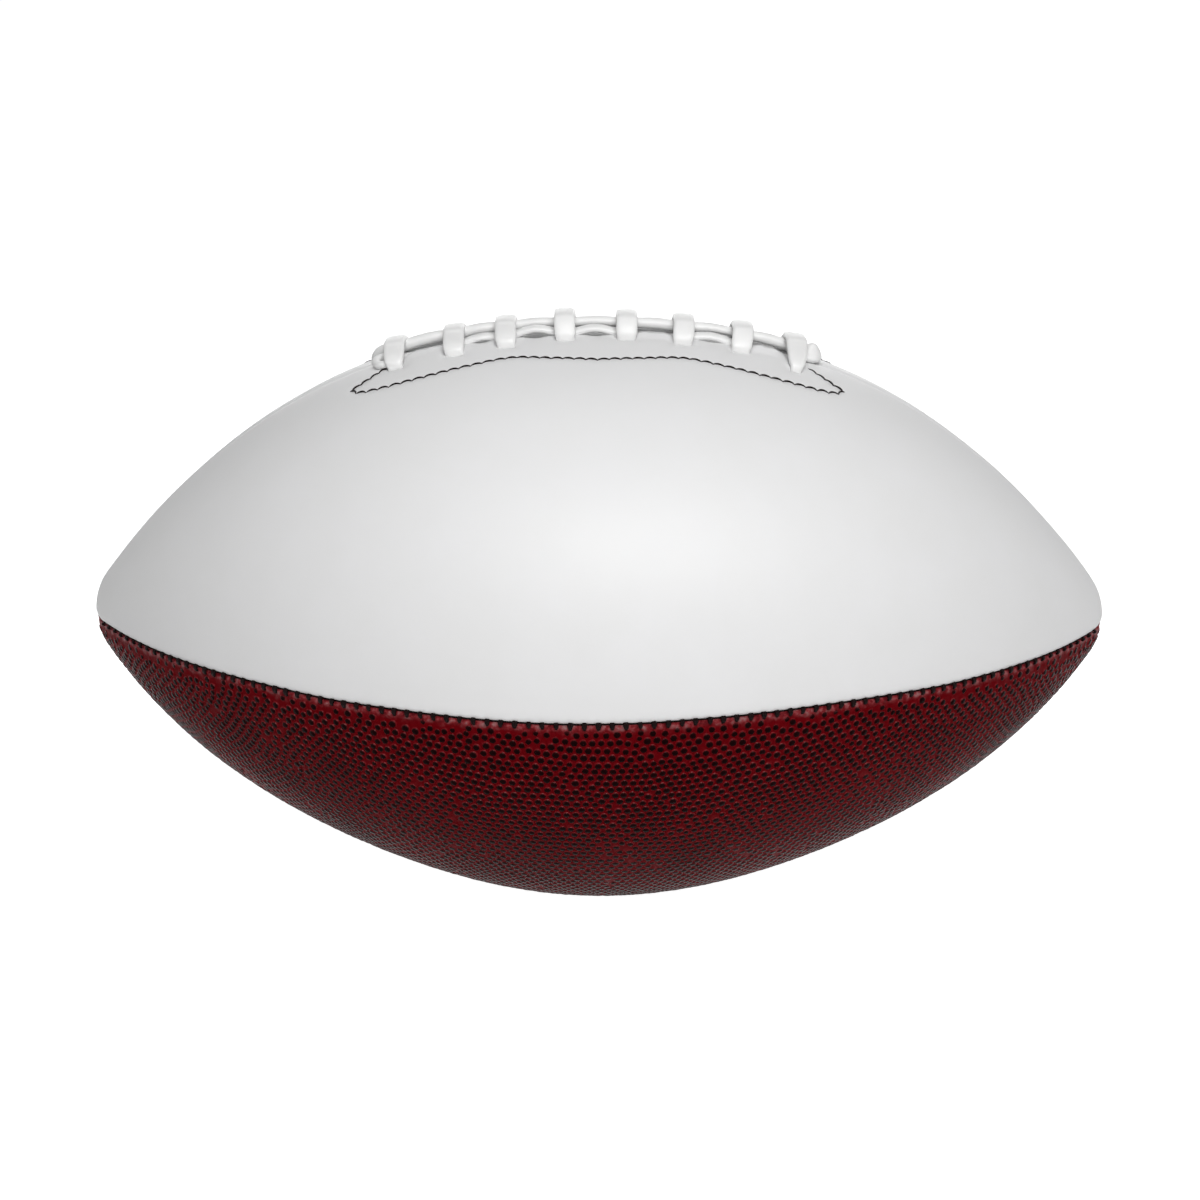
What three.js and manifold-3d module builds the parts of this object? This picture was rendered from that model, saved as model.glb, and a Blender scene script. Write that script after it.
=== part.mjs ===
// An American football: four sewn and lined panels, a laced opening on top, and a bladder with a
// needle valve inside. Millimetres, +Z up. The long axis lies along X, the laces are on top, -Y is the
// front, and the origin is on the floor under the middle of the ball.
import * as THREE from "three";
import { mergeVertices } from "three/addons/utils/BufferGeometryUtils.js";
import Module from "manifold-3d";

const wasm = await Module();
wasm.setup();

// Outside of the ball
const ballLength = 290;
const ballDiameter = 163.5;
const tipRadius = 18.8;
const laceSideFullness = 2.1; // swell of the quarter points towards the laces
const bellyFlatDepth = 0.1; // flat that the ball's weight presses into the seam it lies on

// Clearance between two pieces that lie against each other
const fitGap = 0.3;

// Panels, with their edges rolled into the seams and turned in as sewing flanges
const panelThickness = 2.4;
const seamRoll = 4;
const seamDip = 1.2;
const flangeThickness = 1.6;
const flangeHeight = 2.2;

// Lining sewn behind each panel
const liningThickness = 0.6;

// Facing that reinforces each side of the laced opening, and the line of stitches that holds it
const facingThickness = 1;
const facingMargin = 3.5; // leather outside the stitch line
const stitchHalfLength = 67.5;
const stitchMiddle = 19.8; // distance of the stitch line from the lace seam
const stitchWave = 1.5;
const stitchWaves = 1.45; // from the middle of the line to its end
const stitchTip = 16;
const facingThread = 0.7;
const seamThread = 0.8;
const seamThreadSink = 0.2; // top of the thread below the ball's surface

// Lace: one flat cord, rolled nearly round where it runs along the seam
const laceWidth = 6.2;
const laceThickness = 2.2;
const strandWidth = 4.2;
const strandThickness = 3.5;
const strapCount = 8;
const strapPitch = 15.9;
const laceHoleOffset = 8.3; // from the lace seam
const holeClearance = 0.4;
const strandSpread = 2.5; // each long strand's distance from the lace seam
const loopReach = 4.2; // past the last strap
const endHoleReach = 6; // past the first strap
const endHoleOffset = 4.6;
const tailLength = 15;
const laceBend = 2; // bend radius where the cord turns under the facing
const slitWidth = 3.2;
const slitReach = 3; // past the outer straps

// Tongue that keeps the lace off the bladder
const tongueThickness = 1.2;
const tongueWidth = 40;
const tongueReach = 28; // past the outer straps

// Bladder and its needle valve
const bladderWall = 1;
const dentShoulder = 16; // width of the slope around the dent that the tongue presses in
const valveStem = 6.4;
const valveBore = 3.8;
const valveFlange = 22;
const valveFlangeThickness = 1.5;
const valveHousing = 11;
const valveHousingLength = 13;
const valveRecess = 0.5; // below the panel's surface
const needleDimple = 1.6;
const coreOverhang = 1; // valve core past the housing's inner end

// Facets
const flankSteps = 18;
const tipSteps = 3;
const panelColumns = 8;
const bladderColumns = 24;
const roundSides = 16;
const facingRows = 16;
const facingColumns = 2;
const tongueRows = 16;
const tongueColumns = 4;
const facingStitchSteps = 24;
const laceSides = 8;
const threadSides = 6;
const cordRoundness = 0.7; // 1 makes a cord's section an ellipse, and less makes it squarer

const colours = {
  white: { color: 0xe4e4e2, roughness: 0.5, metalness: 0 },
  burgundy: { color: 0x5c0f12, roughness: 0.55, metalness: 0 },
  lace: { color: 0xf0f0ee, roughness: 0.4, metalness: 0 },
  thread: { color: 0x16120f, roughness: 0.8, metalness: 0 },
  lining: { color: 0xc9c2b2, roughness: 0.95, metalness: 0 },
  facing: { color: 0x3a332c, roughness: 0.85, metalness: 0 },
  rubber: { color: 0x141414, roughness: 0.7, metalness: 0 },
};

// Profile: a flank arc centred below the axis, tangent to a round tip. The parameter "lean" is the
// angle of the outward normal from the radial direction, so a depth is a plain change of radius.
const halfLength = ballLength / 2;
const bellyRadius = ballDiameter / 2;
const tipCentre = halfLength - tipRadius;
const flankRadius = (tipCentre ** 2 + bellyRadius ** 2 - tipRadius ** 2) / (2 * (bellyRadius - tipRadius));
const flankDrop = flankRadius - bellyRadius;
const flankLean = Math.atan2(tipCentre, flankDrop);
const quarterTurn = Math.PI / 2;
const panelHalfAngle = quarterTurn / 2;

function profile(lean, depth = 0) {
  if (Math.abs(lean) <= flankLean) {
    const radius = flankRadius - depth;
    return { x: radius * Math.sin(lean), r: radius * Math.cos(lean) - flankDrop };
  }
  const radius = tipRadius - depth;
  return { x: Math.sign(lean) * tipCentre + radius * Math.sin(lean), r: radius * Math.cos(lean) };
}

const leanAt = (x) => Math.asin(x / flankRadius);
const swellAt = (lean) => laceSideFullness * Math.sin((Math.PI * profile(lean).x) / halfLength) ** 2;

// A point on or under the ball's surface. The angle turns from the laces (+Z) to the front (-Y).
function shellPoint(lean, angle, depth) {
  const { x, r } = profile(lean, depth);
  return new THREE.Vector3(x, -r * Math.sin(angle), r * Math.cos(angle) + swellAt(lean));
}

// Directions on the surface: along the ball, round the ball towards the front, and outwards.
function shellFrame(lean, angle) {
  const round = new THREE.Vector3(0, -Math.cos(angle), -Math.sin(angle));
  const radial = new THREE.Vector3(0, -Math.sin(angle), Math.cos(angle));
  const axial = new THREE.Vector3(1, 0, 0);
  const out = radial.clone().multiplyScalar(Math.cos(lean)).addScaledVector(axial, Math.sin(lean));
  const along = axial.clone().multiplyScalar(Math.cos(lean)).addScaledVector(radial, -Math.sin(lean));
  return { along, round, out };
}

// A place near the laces: x along the ball, t from the lace seam round to the front, h above the surface.
function lacePlace({ x, t, h }) {
  const lean = leanAt(x);
  const angle = t / profile(lean).r;
  return { point: shellPoint(lean, angle, -h), ...shellFrame(lean, angle) };
}

// Depths of the layers below the surface
const flangeDepth = panelThickness + flangeHeight;
const liningTop = panelThickness + fitGap;
const liningBottom = liningTop + liningThickness;
const facetSag = bellyRadius * (1 - Math.cos(panelHalfAngle / panelColumns)) +
  flankRadius * (1 - Math.cos(flankLean / flankSteps));
const facingTop = liningBottom + fitGap + facetSag;
const facingBottom = facingTop + facingThickness;
const holeFoot = Math.max(facingBottom, flangeDepth) + holeClearance;
const laceRunDepth = holeFoot + laceBend;
const tongueTop = laceRunDepth + laceThickness / 2 + holeClearance;
const tongueBottom = tongueTop + tongueThickness;
const bladderTop = flangeDepth + fitGap;
const dentDepth = tongueBottom + fitGap - bladderTop;
const liningInset = flangeThickness + 2 * fitGap;

// Laced length
const strapX = (k) => (k - (strapCount - 1) / 2) * strapPitch;
const lastStrap = strapX(strapCount - 1);
const slitHalfLength = lastStrap + slitReach;
const tongueHalfLength = lastStrap + tongueReach;

const mix = THREE.MathUtils.lerp;
const smooth = THREE.MathUtils.smoothstep;
const evenSteps = (first, last, steps) =>
  Array.from({ length: steps + 1 }, (_, i) => mix(first, last, i / steps));

function profileRows(endLean) {
  const tip = evenSteps(flankLean, endLean, tipSteps).slice(1);
  const tail = tip.map((lean) => -lean).reverse();
  return [...tail, ...evenSteps(-flankLean, flankLean, flankSteps), ...tip];
}

// Lining and seam threads stop short of the point where the four seams meet.
const tipLean = mix(flankLean, quarterTurn, (tipSteps - 1) / tipSteps);

function geometryOf(points, triangles) {
  const geometry = new THREE.BufferGeometry().setFromPoints(points);
  geometry.setIndex(triangles);
  geometry.computeVertexNormals();
  return geometry;
}

// Closed solid between two grids of points with the same outline. Each grid is a list of rows, and a
// row of one point is a pointed end. The top grid's rows run along X and its columns round to the front.
function solidBetween(top, bottom) {
  const points = [];
  const triangles = [];
  const number = (grid) => grid.map((row) => row.map((point) => points.push(point) - 1));
  const topIds = number(top);
  const bottomIds = number(bottom);
  const face = (a, b, c) => {
    if (a !== b && b !== c && c !== a) triangles.push(a, c, b);
  };
  const quad = (a, b, c, d) => {
    face(a, b, c);
    face(a, c, d);
  };
  const at = (row, j) => row[Math.min(j, row.length - 1)];
  const cover = (ids, flip) => {
    for (let i = 0; i + 1 < ids.length; i++) {
      const columns = Math.max(ids[i].length, ids[i + 1].length);
      for (let j = 0; j + 1 < columns; j++) {
        const loop = [at(ids[i], j), at(ids[i + 1], j), at(ids[i + 1], j + 1), at(ids[i], j + 1)];
        quad(...(flip ? loop.reverse() : loop));
      }
    }
  };
  cover(topIds, false);
  cover(bottomIds, true);
  for (let i = 0; i + 1 < top.length; i++) {
    quad(topIds[i + 1][0], topIds[i][0], bottomIds[i][0], bottomIds[i + 1][0]);
    quad(topIds[i].at(-1), topIds[i + 1].at(-1), bottomIds[i + 1].at(-1), bottomIds[i].at(-1));
  }
  const end = (topRow, bottomRow, flip) => {
    for (let j = 0; j + 1 < topRow.length; j++) {
      const loop = [topRow[j], topRow[j + 1], bottomRow[j + 1], bottomRow[j]];
      quad(...(flip ? loop.reverse() : loop));
    }
  };
  end(topIds[0], bottomIds[0], false);
  end(topIds.at(-1), bottomIds.at(-1), true);
  return geometryOf(points, triangles);
}

// One face of a quarter of the ball: edge columns, each at a distance from both edges and a depth of its
// own, and even columns at one depth between them.
function quarterFace(centre, endLean, inset, edges, middleDepth) {
  return profileRows(endLean).map((lean, i, rows) => {
    const { r } = profile(lean);
    const halfWidth = r * panelHalfAngle - inset;
    if (i === 0 || i === rows.length - 1) return [shellPoint(lean, centre, edges[0].depth)];
    const near = edges.map(({ from, depth }, j) => ({
      place: Math.min(from, (halfWidth * j) / (edges.length + 1)) - halfWidth,
      depth,
    }));
    const far = near.map(({ place, depth }) => ({ place: -place, depth })).reverse();
    const between = evenSteps(near.at(-1).place, far[0].place, panelColumns).slice(1, -1);
    const middle = between.map((place) => ({ place, depth: middleDepth }));
    const columns = [...near, ...middle, ...far];
    return columns.map(({ place, depth }) => shellPoint(lean, centre + place / r, depth));
  });
}

// Boolean helpers
function solidOf(geometry) {
  const bare = new THREE.BufferGeometry();
  bare.setAttribute("position", geometry.getAttribute("position").clone());
  bare.setIndex(geometry.getIndex());
  const merged = mergeVertices(bare, 1e-4);
  const mesh = new wasm.Mesh({
    numProp: 3,
    vertProperties: merged.attributes.position.array,
    triVerts: new Uint32Array(merged.index.array),
  });
  return new wasm.Manifold(mesh);
}

function geometryFrom(solid) {
  const mesh = solid.getMesh();
  const geometry = new THREE.BufferGeometry();
  geometry.setAttribute("position", new THREE.BufferAttribute(new Float32Array(mesh.vertProperties), 3));
  geometry.setIndex(new THREE.BufferAttribute(new Uint32Array(mesh.triVerts), 1));
  geometry.computeVertexNormals();
  return geometry;
}

const cut = (geometry, cutters) =>
  geometryFrom(cutters.reduce((solid, cutter) => solid.subtract(solidOf(cutter)), solidOf(geometry)));

// Straight cutters through the casing at a place on its surface: a slot along the ball, and a round hole.
function placed(geometry, { point, along, round, out }) {
  const place = new THREE.Matrix4().makeBasis(along, round.clone().negate(), out).setPosition(point);
  return geometry.applyMatrix4(place);
}

const slotCutter = (place, length, width, reach) =>
  placed(new THREE.BoxGeometry(length, width, 2 * reach), place);

function holeCutter(place, diameter, reach) {
  const pin = new THREE.CylinderGeometry(diameter / 2, diameter / 2, 2 * reach, roundSides);
  return placed(pin.rotateX(quarterTurn), place);
}

// Panels: the middle of each one, and the columns of its rolled edge as shares of the roll
const rollShares = [0, 0.4, 1];
const panelCentres = {
  front_upper: panelHalfAngle,
  front_lower: 3 * panelHalfAngle,
  rear_lower: 5 * panelHalfAngle,
  rear_upper: 7 * panelHalfAngle,
};

function panelGeometry(centre) {
  const rolled = rollShares.map((share) => ({ from: share * seamRoll, depth: seamDip * (1 - share) ** 2 }));
  const turnedIn = [
    { from: 0, depth: flangeDepth },
    { from: flangeThickness, depth: flangeDepth },
    { from: flangeThickness + fitGap, depth: panelThickness },
  ];
  const top = quarterFace(centre, quarterTurn, 0, rolled, 0);
  const back = quarterFace(centre, quarterTurn, 0, turnedIn, panelThickness);
  return solidBetween(top, back);
}

function liningGeometry(centre) {
  const face = (depth) => quarterFace(centre, tipLean, liningInset, [{ from: 0, depth }], depth);
  return solidBetween(face(liningTop), face(liningBottom));
}

// Facing: its outline, from the lace seam out to the stitch line
const [waveFade, droopStart] = [0.75, 0.86]; // shares of the line's half length
const stitchLine = (x) => {
  const along = Math.abs(x) / stitchHalfLength;
  const droop = (stitchMiddle - stitchTip) * smooth(along, droopStart, 1);
  const wave = Math.cos(along * 2 * Math.PI * stitchWaves) * (1 - smooth(along, waveFade, 1));
  return stitchMiddle + stitchWave * wave - droop;
};

function facingGeometry(side) {
  const halfSpan = stitchHalfLength + facingMargin;
  const slantStart = lastStrap + laceWidth / 2 + holeClearance;
  const rows = evenSteps(-halfSpan, halfSpan, facingRows);
  const face = (depth) =>
    rows.map((x) => {
      const onLine = x * (stitchHalfLength / halfSpan);
      const slant = Math.max(0, Math.abs(x) - slantStart) / (halfSpan - slantStart);
      const inner = mix(liningInset, stitchTip, slant);
      const outer = Math.max(stitchLine(onLine) + facingMargin * (1 - slant), inner + facingMargin / 2);
      const columns = evenSteps(inner, outer, facingColumns);
      return columns.map((t) => lacePlace({ x, t: side * t, h: -depth }).point);
    });
  const ordered = (grid) => (side > 0 ? grid : grid.map((row) => row.reverse()));
  return solidBetween(ordered(face(facingTop)), ordered(face(facingBottom)));
}

function tongueGeometry() {
  const rows = evenSteps(-tongueHalfLength, tongueHalfLength, tongueRows);
  const columns = evenSteps(-tongueWidth / 2, tongueWidth / 2, tongueColumns);
  const face = (depth) => rows.map((x) => columns.map((t) => lacePlace({ x, t, h: -depth }).point));
  return solidBetween(face(tongueTop), face(tongueBottom));
}

// A cord swept along points with a rounded section. Each ring has its centre, its wide direction, its
// thin direction and its two sizes.
function cordGeometry(rings, sides) {
  const points = [];
  const triangles = [];
  rings.forEach(({ centre, wide, thin, width, thickness }) => {
    for (let j = 0; j < sides; j++) {
      const turn = ((j + 0.5) / sides) * 2 * Math.PI;
      const square = (v) => Math.sign(v) * Math.abs(v) ** cordRoundness;
      const point = centre.clone();
      point.addScaledVector(wide, (square(Math.cos(turn)) * width) / 2);
      point.addScaledVector(thin, (square(Math.sin(turn)) * thickness) / 2);
      points.push(point);
    }
  });
  for (let i = 0; i + 1 < rings.length; i++) {
    for (let j = 0; j < sides; j++) {
      const [a, b] = [i * sides + j, i * sides + ((j + 1) % sides)];
      triangles.push(a, b, a + sides, b, b + sides, a + sides);
    }
  }
  const last = (rings.length - 1) * sides;
  for (let j = 1; j + 1 < sides; j++) {
    triangles.push(0, j + 1, j, last, last + j, last + j + 1);
  }
  return geometryOf(points, triangles);
}

// Rings along stations near the laces. A station's wide direction is given along, round and out.
function laceRings(stations, stepsBetween) {
  const path = new THREE.CatmullRomCurve3(stations.map(({ x, t, h }) => new THREE.Vector3(x, t, h)));
  const count = (stations.length - 1) * stepsBetween;
  const centreAt = (share) => {
    const at = path.getPoint(THREE.MathUtils.clamp(share, 0, 1));
    return lacePlace({ x: at.x, t: at.y, h: at.z });
  };
  const nudge = 0.2 / count; // a fifth of the way to the next ring
  return Array.from({ length: count + 1 }, (_, i) => {
    const share = i / count;
    const place = centreAt(share);
    const ahead = centreAt(share + nudge).point.sub(centreAt(share - nudge).point).normalize();
    const low = Math.min(Math.floor(i / stepsBetween), stations.length - 2);
    const between = i / stepsBetween - low;
    const [from, to] = [stations[low], stations[low + 1]];
    const wide = new THREE.Vector3();
    [place.along, place.round, place.out].forEach((direction, axis) => {
      wide.addScaledVector(direction, mix(from.wide[axis], to.wide[axis], between));
    });
    wide.addScaledVector(ahead, -wide.dot(ahead)).normalize();
    return {
      centre: place.point,
      wide,
      thin: new THREE.Vector3().crossVectors(ahead, wide),
      width: mix(from.width, to.width, between),
      thickness: mix(from.thickness, to.thickness, between),
    };
  });
}

// The lace's route: up through the far end hole, along the far side of the seam, round a loop past the
// last strap, back along the near side, down the near end hole, then over and under, strap by strap.
function laceStations() {
  const flat = { width: laceWidth, thickness: laceThickness };
  const rolled = { width: strandWidth, thickness: strandThickness };
  const [alongBack, round, roundBack] = [[-1, 0, 0], [0, 1, 0], [0, -1, 0]];
  const strandHeight = fitGap + strandThickness / 2;
  const strandCrest = strandHeight + holeClearance;
  const strapHeight = strandHeight + strandThickness / 2 + fitGap + laceThickness / 2;
  const farEnd = -(lastStrap + endHoleReach + strandWidth);
  const nearEnd = -(lastStrap + endHoleReach);
  const loop = lastStrap + loopReach - strandSpread;
  const straps = Array.from({ length: strapCount }, (_, k) => strapX(k));
  const go = (x, t, h, wide, size) => ({ x, t, h, wide, ...size });
  const endHole = (x, t, foot, wide) => [
    go(x, t, -holeFoot, foot, rolled),
    go(x, t, 0, wide, rolled),
    go(x + holeClearance, t, strandHeight, wide, rolled),
  ];
  const outward = [
    go(farEnd - tailLength, -endHoleOffset, -laceRunDepth, round, flat),
    go(farEnd - laceBend, -endHoleOffset, -laceRunDepth, round, rolled),
    ...endHole(farEnd, -endHoleOffset, round, round),
    go(farEnd + strandWidth, -(strandSpread + endHoleOffset) / 2, strandCrest, round, rolled),
    ...straps.map((x) => go(x, -strandSpread, strandHeight, round, rolled)),
  ];
  const turn = [-2, -1, 0, 1, 2].map((eighth) => {
    const [c, s] = [Math.cos((eighth * Math.PI) / 4), Math.sin((eighth * Math.PI) / 4)];
    return go(loop + strandSpread * c, strandSpread * s, strandHeight, [-c, -s, 0], rolled);
  });
  const back = [
    ...straps.map((x) => go(x, strandSpread, strandHeight, roundBack, rolled)).reverse(),
    go(nearEnd + strandThickness, (strandSpread + endHoleOffset) / 2, strandCrest, roundBack, rolled),
    ...endHole(nearEnd, endHoleOffset, alongBack, roundBack).reverse(),
    go(nearEnd, endHoleOffset - laceBend, -laceRunDepth, alongBack, flat),
    go(mix(nearEnd, strapX(0), 0.5), 0, -laceRunDepth, alongBack, flat),
  ];
  const strap = (k) => {
    const x = strapX(k);
    const [edge, shoulder] = [laceHoleOffset, laceHoleOffset - laceThickness];
    const half = [
      [edge - laceBend, -laceRunDepth],
      [edge, -holeFoot],
      [edge, -holeFoot / 2],
      [edge, laceThickness / 2],
      [shoulder, strapHeight - laceThickness / 2],
      [shoulder / 2, strapHeight],
    ];
    const far = half.map(([t, h]) => go(x, -t, h, alongBack, flat));
    const near = half.map(([t, h]) => go(x, t, h, alongBack, flat)).reverse();
    return [...far, ...near, go(x + strapPitch / 2, 0, -laceRunDepth, alongBack, flat)];
  };
  const over = straps.flatMap((_, k) => strap(k));
  const tail = go(lastStrap + tailLength, -laceHoleOffset, -laceRunDepth, alongBack, flat);
  return [...outward, ...turn, ...back, ...over, tail];
}

// Holes of the lace, cut through the panel, the lining and the facing of one side
function laceCutters(side) {
  const reach = tongueTop;
  const slotLength = laceWidth + 2 * holeClearance;
  const slotWidth = laceThickness + 2 * holeClearance;
  const endX = -(lastStrap + endHoleReach + (side < 0 ? strandWidth : 0));
  const slots = Array.from({ length: strapCount }, (_, k) => {
    const place = lacePlace({ x: strapX(k), t: side * laceHoleOffset, h: 0 });
    return slotCutter(place, slotLength, slotWidth, reach);
  });
  const endPlace = lacePlace({ x: endX, t: side * endHoleOffset, h: 0 });
  const end = holeCutter(endPlace, strandWidth + 2 * holeClearance, reach);
  const slit = slotCutter(lacePlace({ x: 0, t: 0, h: 0 }), 2 * slitHalfLength, slitWidth, bellyRadius / 2);
  return [...slots, end, slit];
}

// Threads
function seamThreadGeometry(angle, rows) {
  const depth = seamThreadSink + seamThread / 2;
  const rings = rows.map((lean) => {
    const { round, out } = shellFrame(lean, angle);
    const centre = shellPoint(lean, angle, depth);
    return { centre, wide: out, thin: round, width: seamThread, thickness: seamThread };
  });
  return cordGeometry(rings, threadSides);
}

function facingStitchGeometry(side) {
  const startX = lastStrap + laceWidth / 2 + holeClearance + facingThread;
  const startT = laceHoleOffset + laceThickness / 2 + holeClearance + facingThread;
  const h = fitGap + facingThread / 2;
  const outlineX = evenSteps(-stitchHalfLength, stitchHalfLength, facingStitchSteps);
  const outline = outlineX.map((x) => [x, stitchLine(x)]);
  const route = [[-startX, startT], ...outline, [startX, startT]];
  const rings = route.map(([x, t], i) => {
    const place = lacePlace({ x, t: side * t, h });
    const before = route[Math.max(i - 1, 0)];
    const after = route[Math.min(i + 1, route.length - 1)];
    const ahead = place.along.clone().multiplyScalar(after[0] - before[0]);
    ahead.addScaledVector(place.round, side * (after[1] - before[1])).normalize();
    const wide = new THREE.Vector3().crossVectors(place.out, ahead);
    return { centre: place.point, wide, thin: place.out, width: facingThread, thickness: facingThread };
  });
  return cordGeometry(rings, threadSides);
}

// Bladder: a closed skin with the tongue's dent, open only at the valve
function bladderGeometry() {
  const rows = profileRows(quarterTurn);
  const dentHalfWidth = tongueWidth / 2 + (2 * Math.PI * bellyRadius) / bladderColumns;
  const dentHalfLength = tongueHalfLength + (2 * flankLean * flankRadius) / flankSteps;
  const dentAt = (lean, angle) => {
    const { x, r } = profile(lean);
    const fromSeam = Math.abs(angle > Math.PI ? angle - 2 * Math.PI : angle) * r;
    const across = 1 - smooth(fromSeam, dentHalfWidth, dentHalfWidth + dentShoulder);
    const lengthways = 1 - smooth(Math.abs(x), dentHalfLength, dentHalfLength + dentShoulder);
    return dentDepth * across * lengthways;
  };
  const skin = (wall) => {
    const points = [];
    const triangles = [];
    const ids = rows.map((lean, i) => {
      const pole = i === 0 || i === rows.length - 1;
      const ring = Array.from({ length: pole ? 1 : bladderColumns }, (_, j) => {
        const angle = (j / bladderColumns) * 2 * Math.PI;
        return points.push(shellPoint(lean, angle, bladderTop + wall + dentAt(lean, angle))) - 1;
      });
      return (j) => ring[j % ring.length];
    });
    for (let i = 0; i + 1 < rows.length; i++) {
      for (let j = 0; j < bladderColumns; j++) {
        const [a, b, c, d] = [ids[i](j), ids[i + 1](j), ids[i + 1](j + 1), ids[i](j + 1)];
        if (b !== c) triangles.push(a, c, b);
        if (a !== d) triangles.push(a, d, c);
      }
    }
    return geometryOf(points, triangles);
  };
  const hollow = cut(skin(0), [skin(bladderWall)]);
  return cut(hollow, [valveHole()]);
}

// Needle valve, in the middle of the rear lower panel
const valveAngle = panelCentres.rear_lower;
const valvePlace = { point: shellPoint(0, valveAngle, 0), ...shellFrame(0, valveAngle) };
const valveSag = (valveFlange / 2) * Math.tan(Math.PI / bladderColumns);
const valveFlangeTop = bladderTop + bladderWall + fitGap + valveSag;
const valveReach = valveFlangeTop + valveFlangeThickness + valveHousingLength;

const valveHole = () => holeCutter(valvePlace, valveStem + 2 * fitGap, valveReach);

function turned(profilePoints) {
  const outline = profilePoints.map(([r, z]) => new THREE.Vector2(r, z));
  outline.push(outline[0].clone());
  return new THREE.LatheGeometry(outline, roundSides);
}

function valveBodyGeometry() {
  const [bore, stem, flange, housing] = [valveBore, valveStem, valveFlange, valveHousing].map((d) => d / 2);
  const underFlange = -valveFlangeTop - valveFlangeThickness;
  return turned([
    [bore, -valveReach],
    [housing, -valveReach],
    [housing, underFlange],
    [flange, underFlange],
    [flange, -valveFlangeTop],
    [stem, -valveFlangeTop],
    [stem, -valveRecess],
    [bore, -valveRecess],
  ]);
}

function valveCoreGeometry() {
  const core = valveBore / 2 - fitGap;
  const foot = -valveReach - coreOverhang;
  const outline = [
    [0, foot],
    [core, foot],
    [core, -valveRecess],
    [needleDimple / 2, -valveRecess],
    [0, -valveRecess - needleDimple],
  ];
  return new THREE.LatheGeometry(outline.map(([r, z]) => new THREE.Vector2(r, z)), roundSides);
}

// Assembly
const restHeight = bellyRadius * Math.cos(seamRoll / bellyRadius) + fitGap / 2 - bellyFlatDepth;
const ball = new THREE.Group();
ball.position.z = restHeight;

function addMesh(parent, name, geometry, finish) {
  const mesh = new THREE.Mesh(geometry, new THREE.MeshStandardMaterial(colours[finish]));
  mesh.name = name;
  parent.add(mesh);
  return mesh;
}

// Each quarter of the casing moves out from the axis by half the seam's gap on both its edges.
function quarterGroup(centre) {
  const group = new THREE.Group();
  const shift = fitGap / (2 * Math.sin(panelHalfAngle));
  group.position.set(0, -Math.sin(centre) * shift, Math.cos(centre) * shift);
  ball.add(group);
  return group;
}

const floorCutter = (shift) => {
  const floor = new THREE.BoxGeometry(ballLength, ballDiameter, bellyRadius);
  return floor.translate(0, 0, -restHeight - bellyRadius / 2 - shift);
};
for (const [place, centre] of Object.entries(panelCentres)) {
  const group = quarterGroup(centre);
  const upper = place.endsWith("upper");
  const side = place.startsWith("front") ? 1 : -1;
  const holes = upper ? laceCutters(side) : [];
  if (place === "rear_lower") holes.push(valveHole());
  const trims = upper ? holes : [...holes, floorCutter(group.position.z)];
  addMesh(group, `panel_${place}`, cut(panelGeometry(centre), trims), upper ? "white" : "burgundy");
  addMesh(group, `lining_${place}`, cut(liningGeometry(centre), holes), "lining");
  if (upper) {
    const half = place.replace("_upper", "");
    addMesh(group, `lace_facing_${half}`, cut(facingGeometry(side), holes), "facing");
    addMesh(group, `facing_stitch_${half}`, facingStitchGeometry(side), "thread");
  }
}

const slitLean = leanAt(slitHalfLength + seamThread);
const seamRows = profileRows(quarterTurn).slice(1, -1);
const threads = {
  front: [quarterTurn, seamRows],
  bottom: [2 * quarterTurn, seamRows],
  rear: [3 * quarterTurn, seamRows],
  lace_left: [0, [...seamRows.filter((lean) => lean < -slitLean), -slitLean]],
  lace_right: [0, [slitLean, ...seamRows.filter((lean) => lean > slitLean)]],
};
for (const [seam, run] of Object.entries(threads)) {
  addMesh(ball, `seam_thread_${seam}`, seamThreadGeometry(...run), "thread");
}

addMesh(ball, "lace", cordGeometry(laceRings(laceStations(), 1), laceSides), "lace");
addMesh(ball, "lace_tongue", tongueGeometry(), "facing");
addMesh(ball, "bladder", bladderGeometry(), "rubber");

const valve = new THREE.Group();
valve.position.copy(valvePlace.point);
valve.quaternion.setFromUnitVectors(new THREE.Vector3(0, 0, 1), valvePlace.out);
ball.add(valve);
const valvePieces = { valve_body: valveBodyGeometry(), valve_core: valveCoreGeometry() };
for (const [name, geometry] of Object.entries(valvePieces)) {
  geometry.rotateX(quarterTurn); // a lathe turns about Y, and the valve's axis is Z
  addMesh(valve, name, geometry, "rubber");
}

const football = new THREE.Group();
football.add(ball);
export default football;
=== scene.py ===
import math
import random

import bmesh
import bpy
from mathutils import Matrix, Vector, kdtree, noise
from mathutils.geometry import intersect_point_line


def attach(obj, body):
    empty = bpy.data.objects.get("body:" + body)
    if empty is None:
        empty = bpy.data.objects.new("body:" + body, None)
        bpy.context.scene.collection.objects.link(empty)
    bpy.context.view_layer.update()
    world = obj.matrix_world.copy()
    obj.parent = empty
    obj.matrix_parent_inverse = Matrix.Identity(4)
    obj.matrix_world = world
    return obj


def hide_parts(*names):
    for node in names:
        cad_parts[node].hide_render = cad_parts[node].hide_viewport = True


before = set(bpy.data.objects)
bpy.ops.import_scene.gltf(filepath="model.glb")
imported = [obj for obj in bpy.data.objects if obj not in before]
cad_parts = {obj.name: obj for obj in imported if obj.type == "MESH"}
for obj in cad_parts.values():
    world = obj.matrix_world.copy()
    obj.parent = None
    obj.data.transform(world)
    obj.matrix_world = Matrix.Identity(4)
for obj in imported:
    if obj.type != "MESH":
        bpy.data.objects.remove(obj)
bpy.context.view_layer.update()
scene = bpy.context.scene
print("frame loaded:", len(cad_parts), "nodes")
perMetre = 1000  # sizes are in millimetres until a piece is finished

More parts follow.
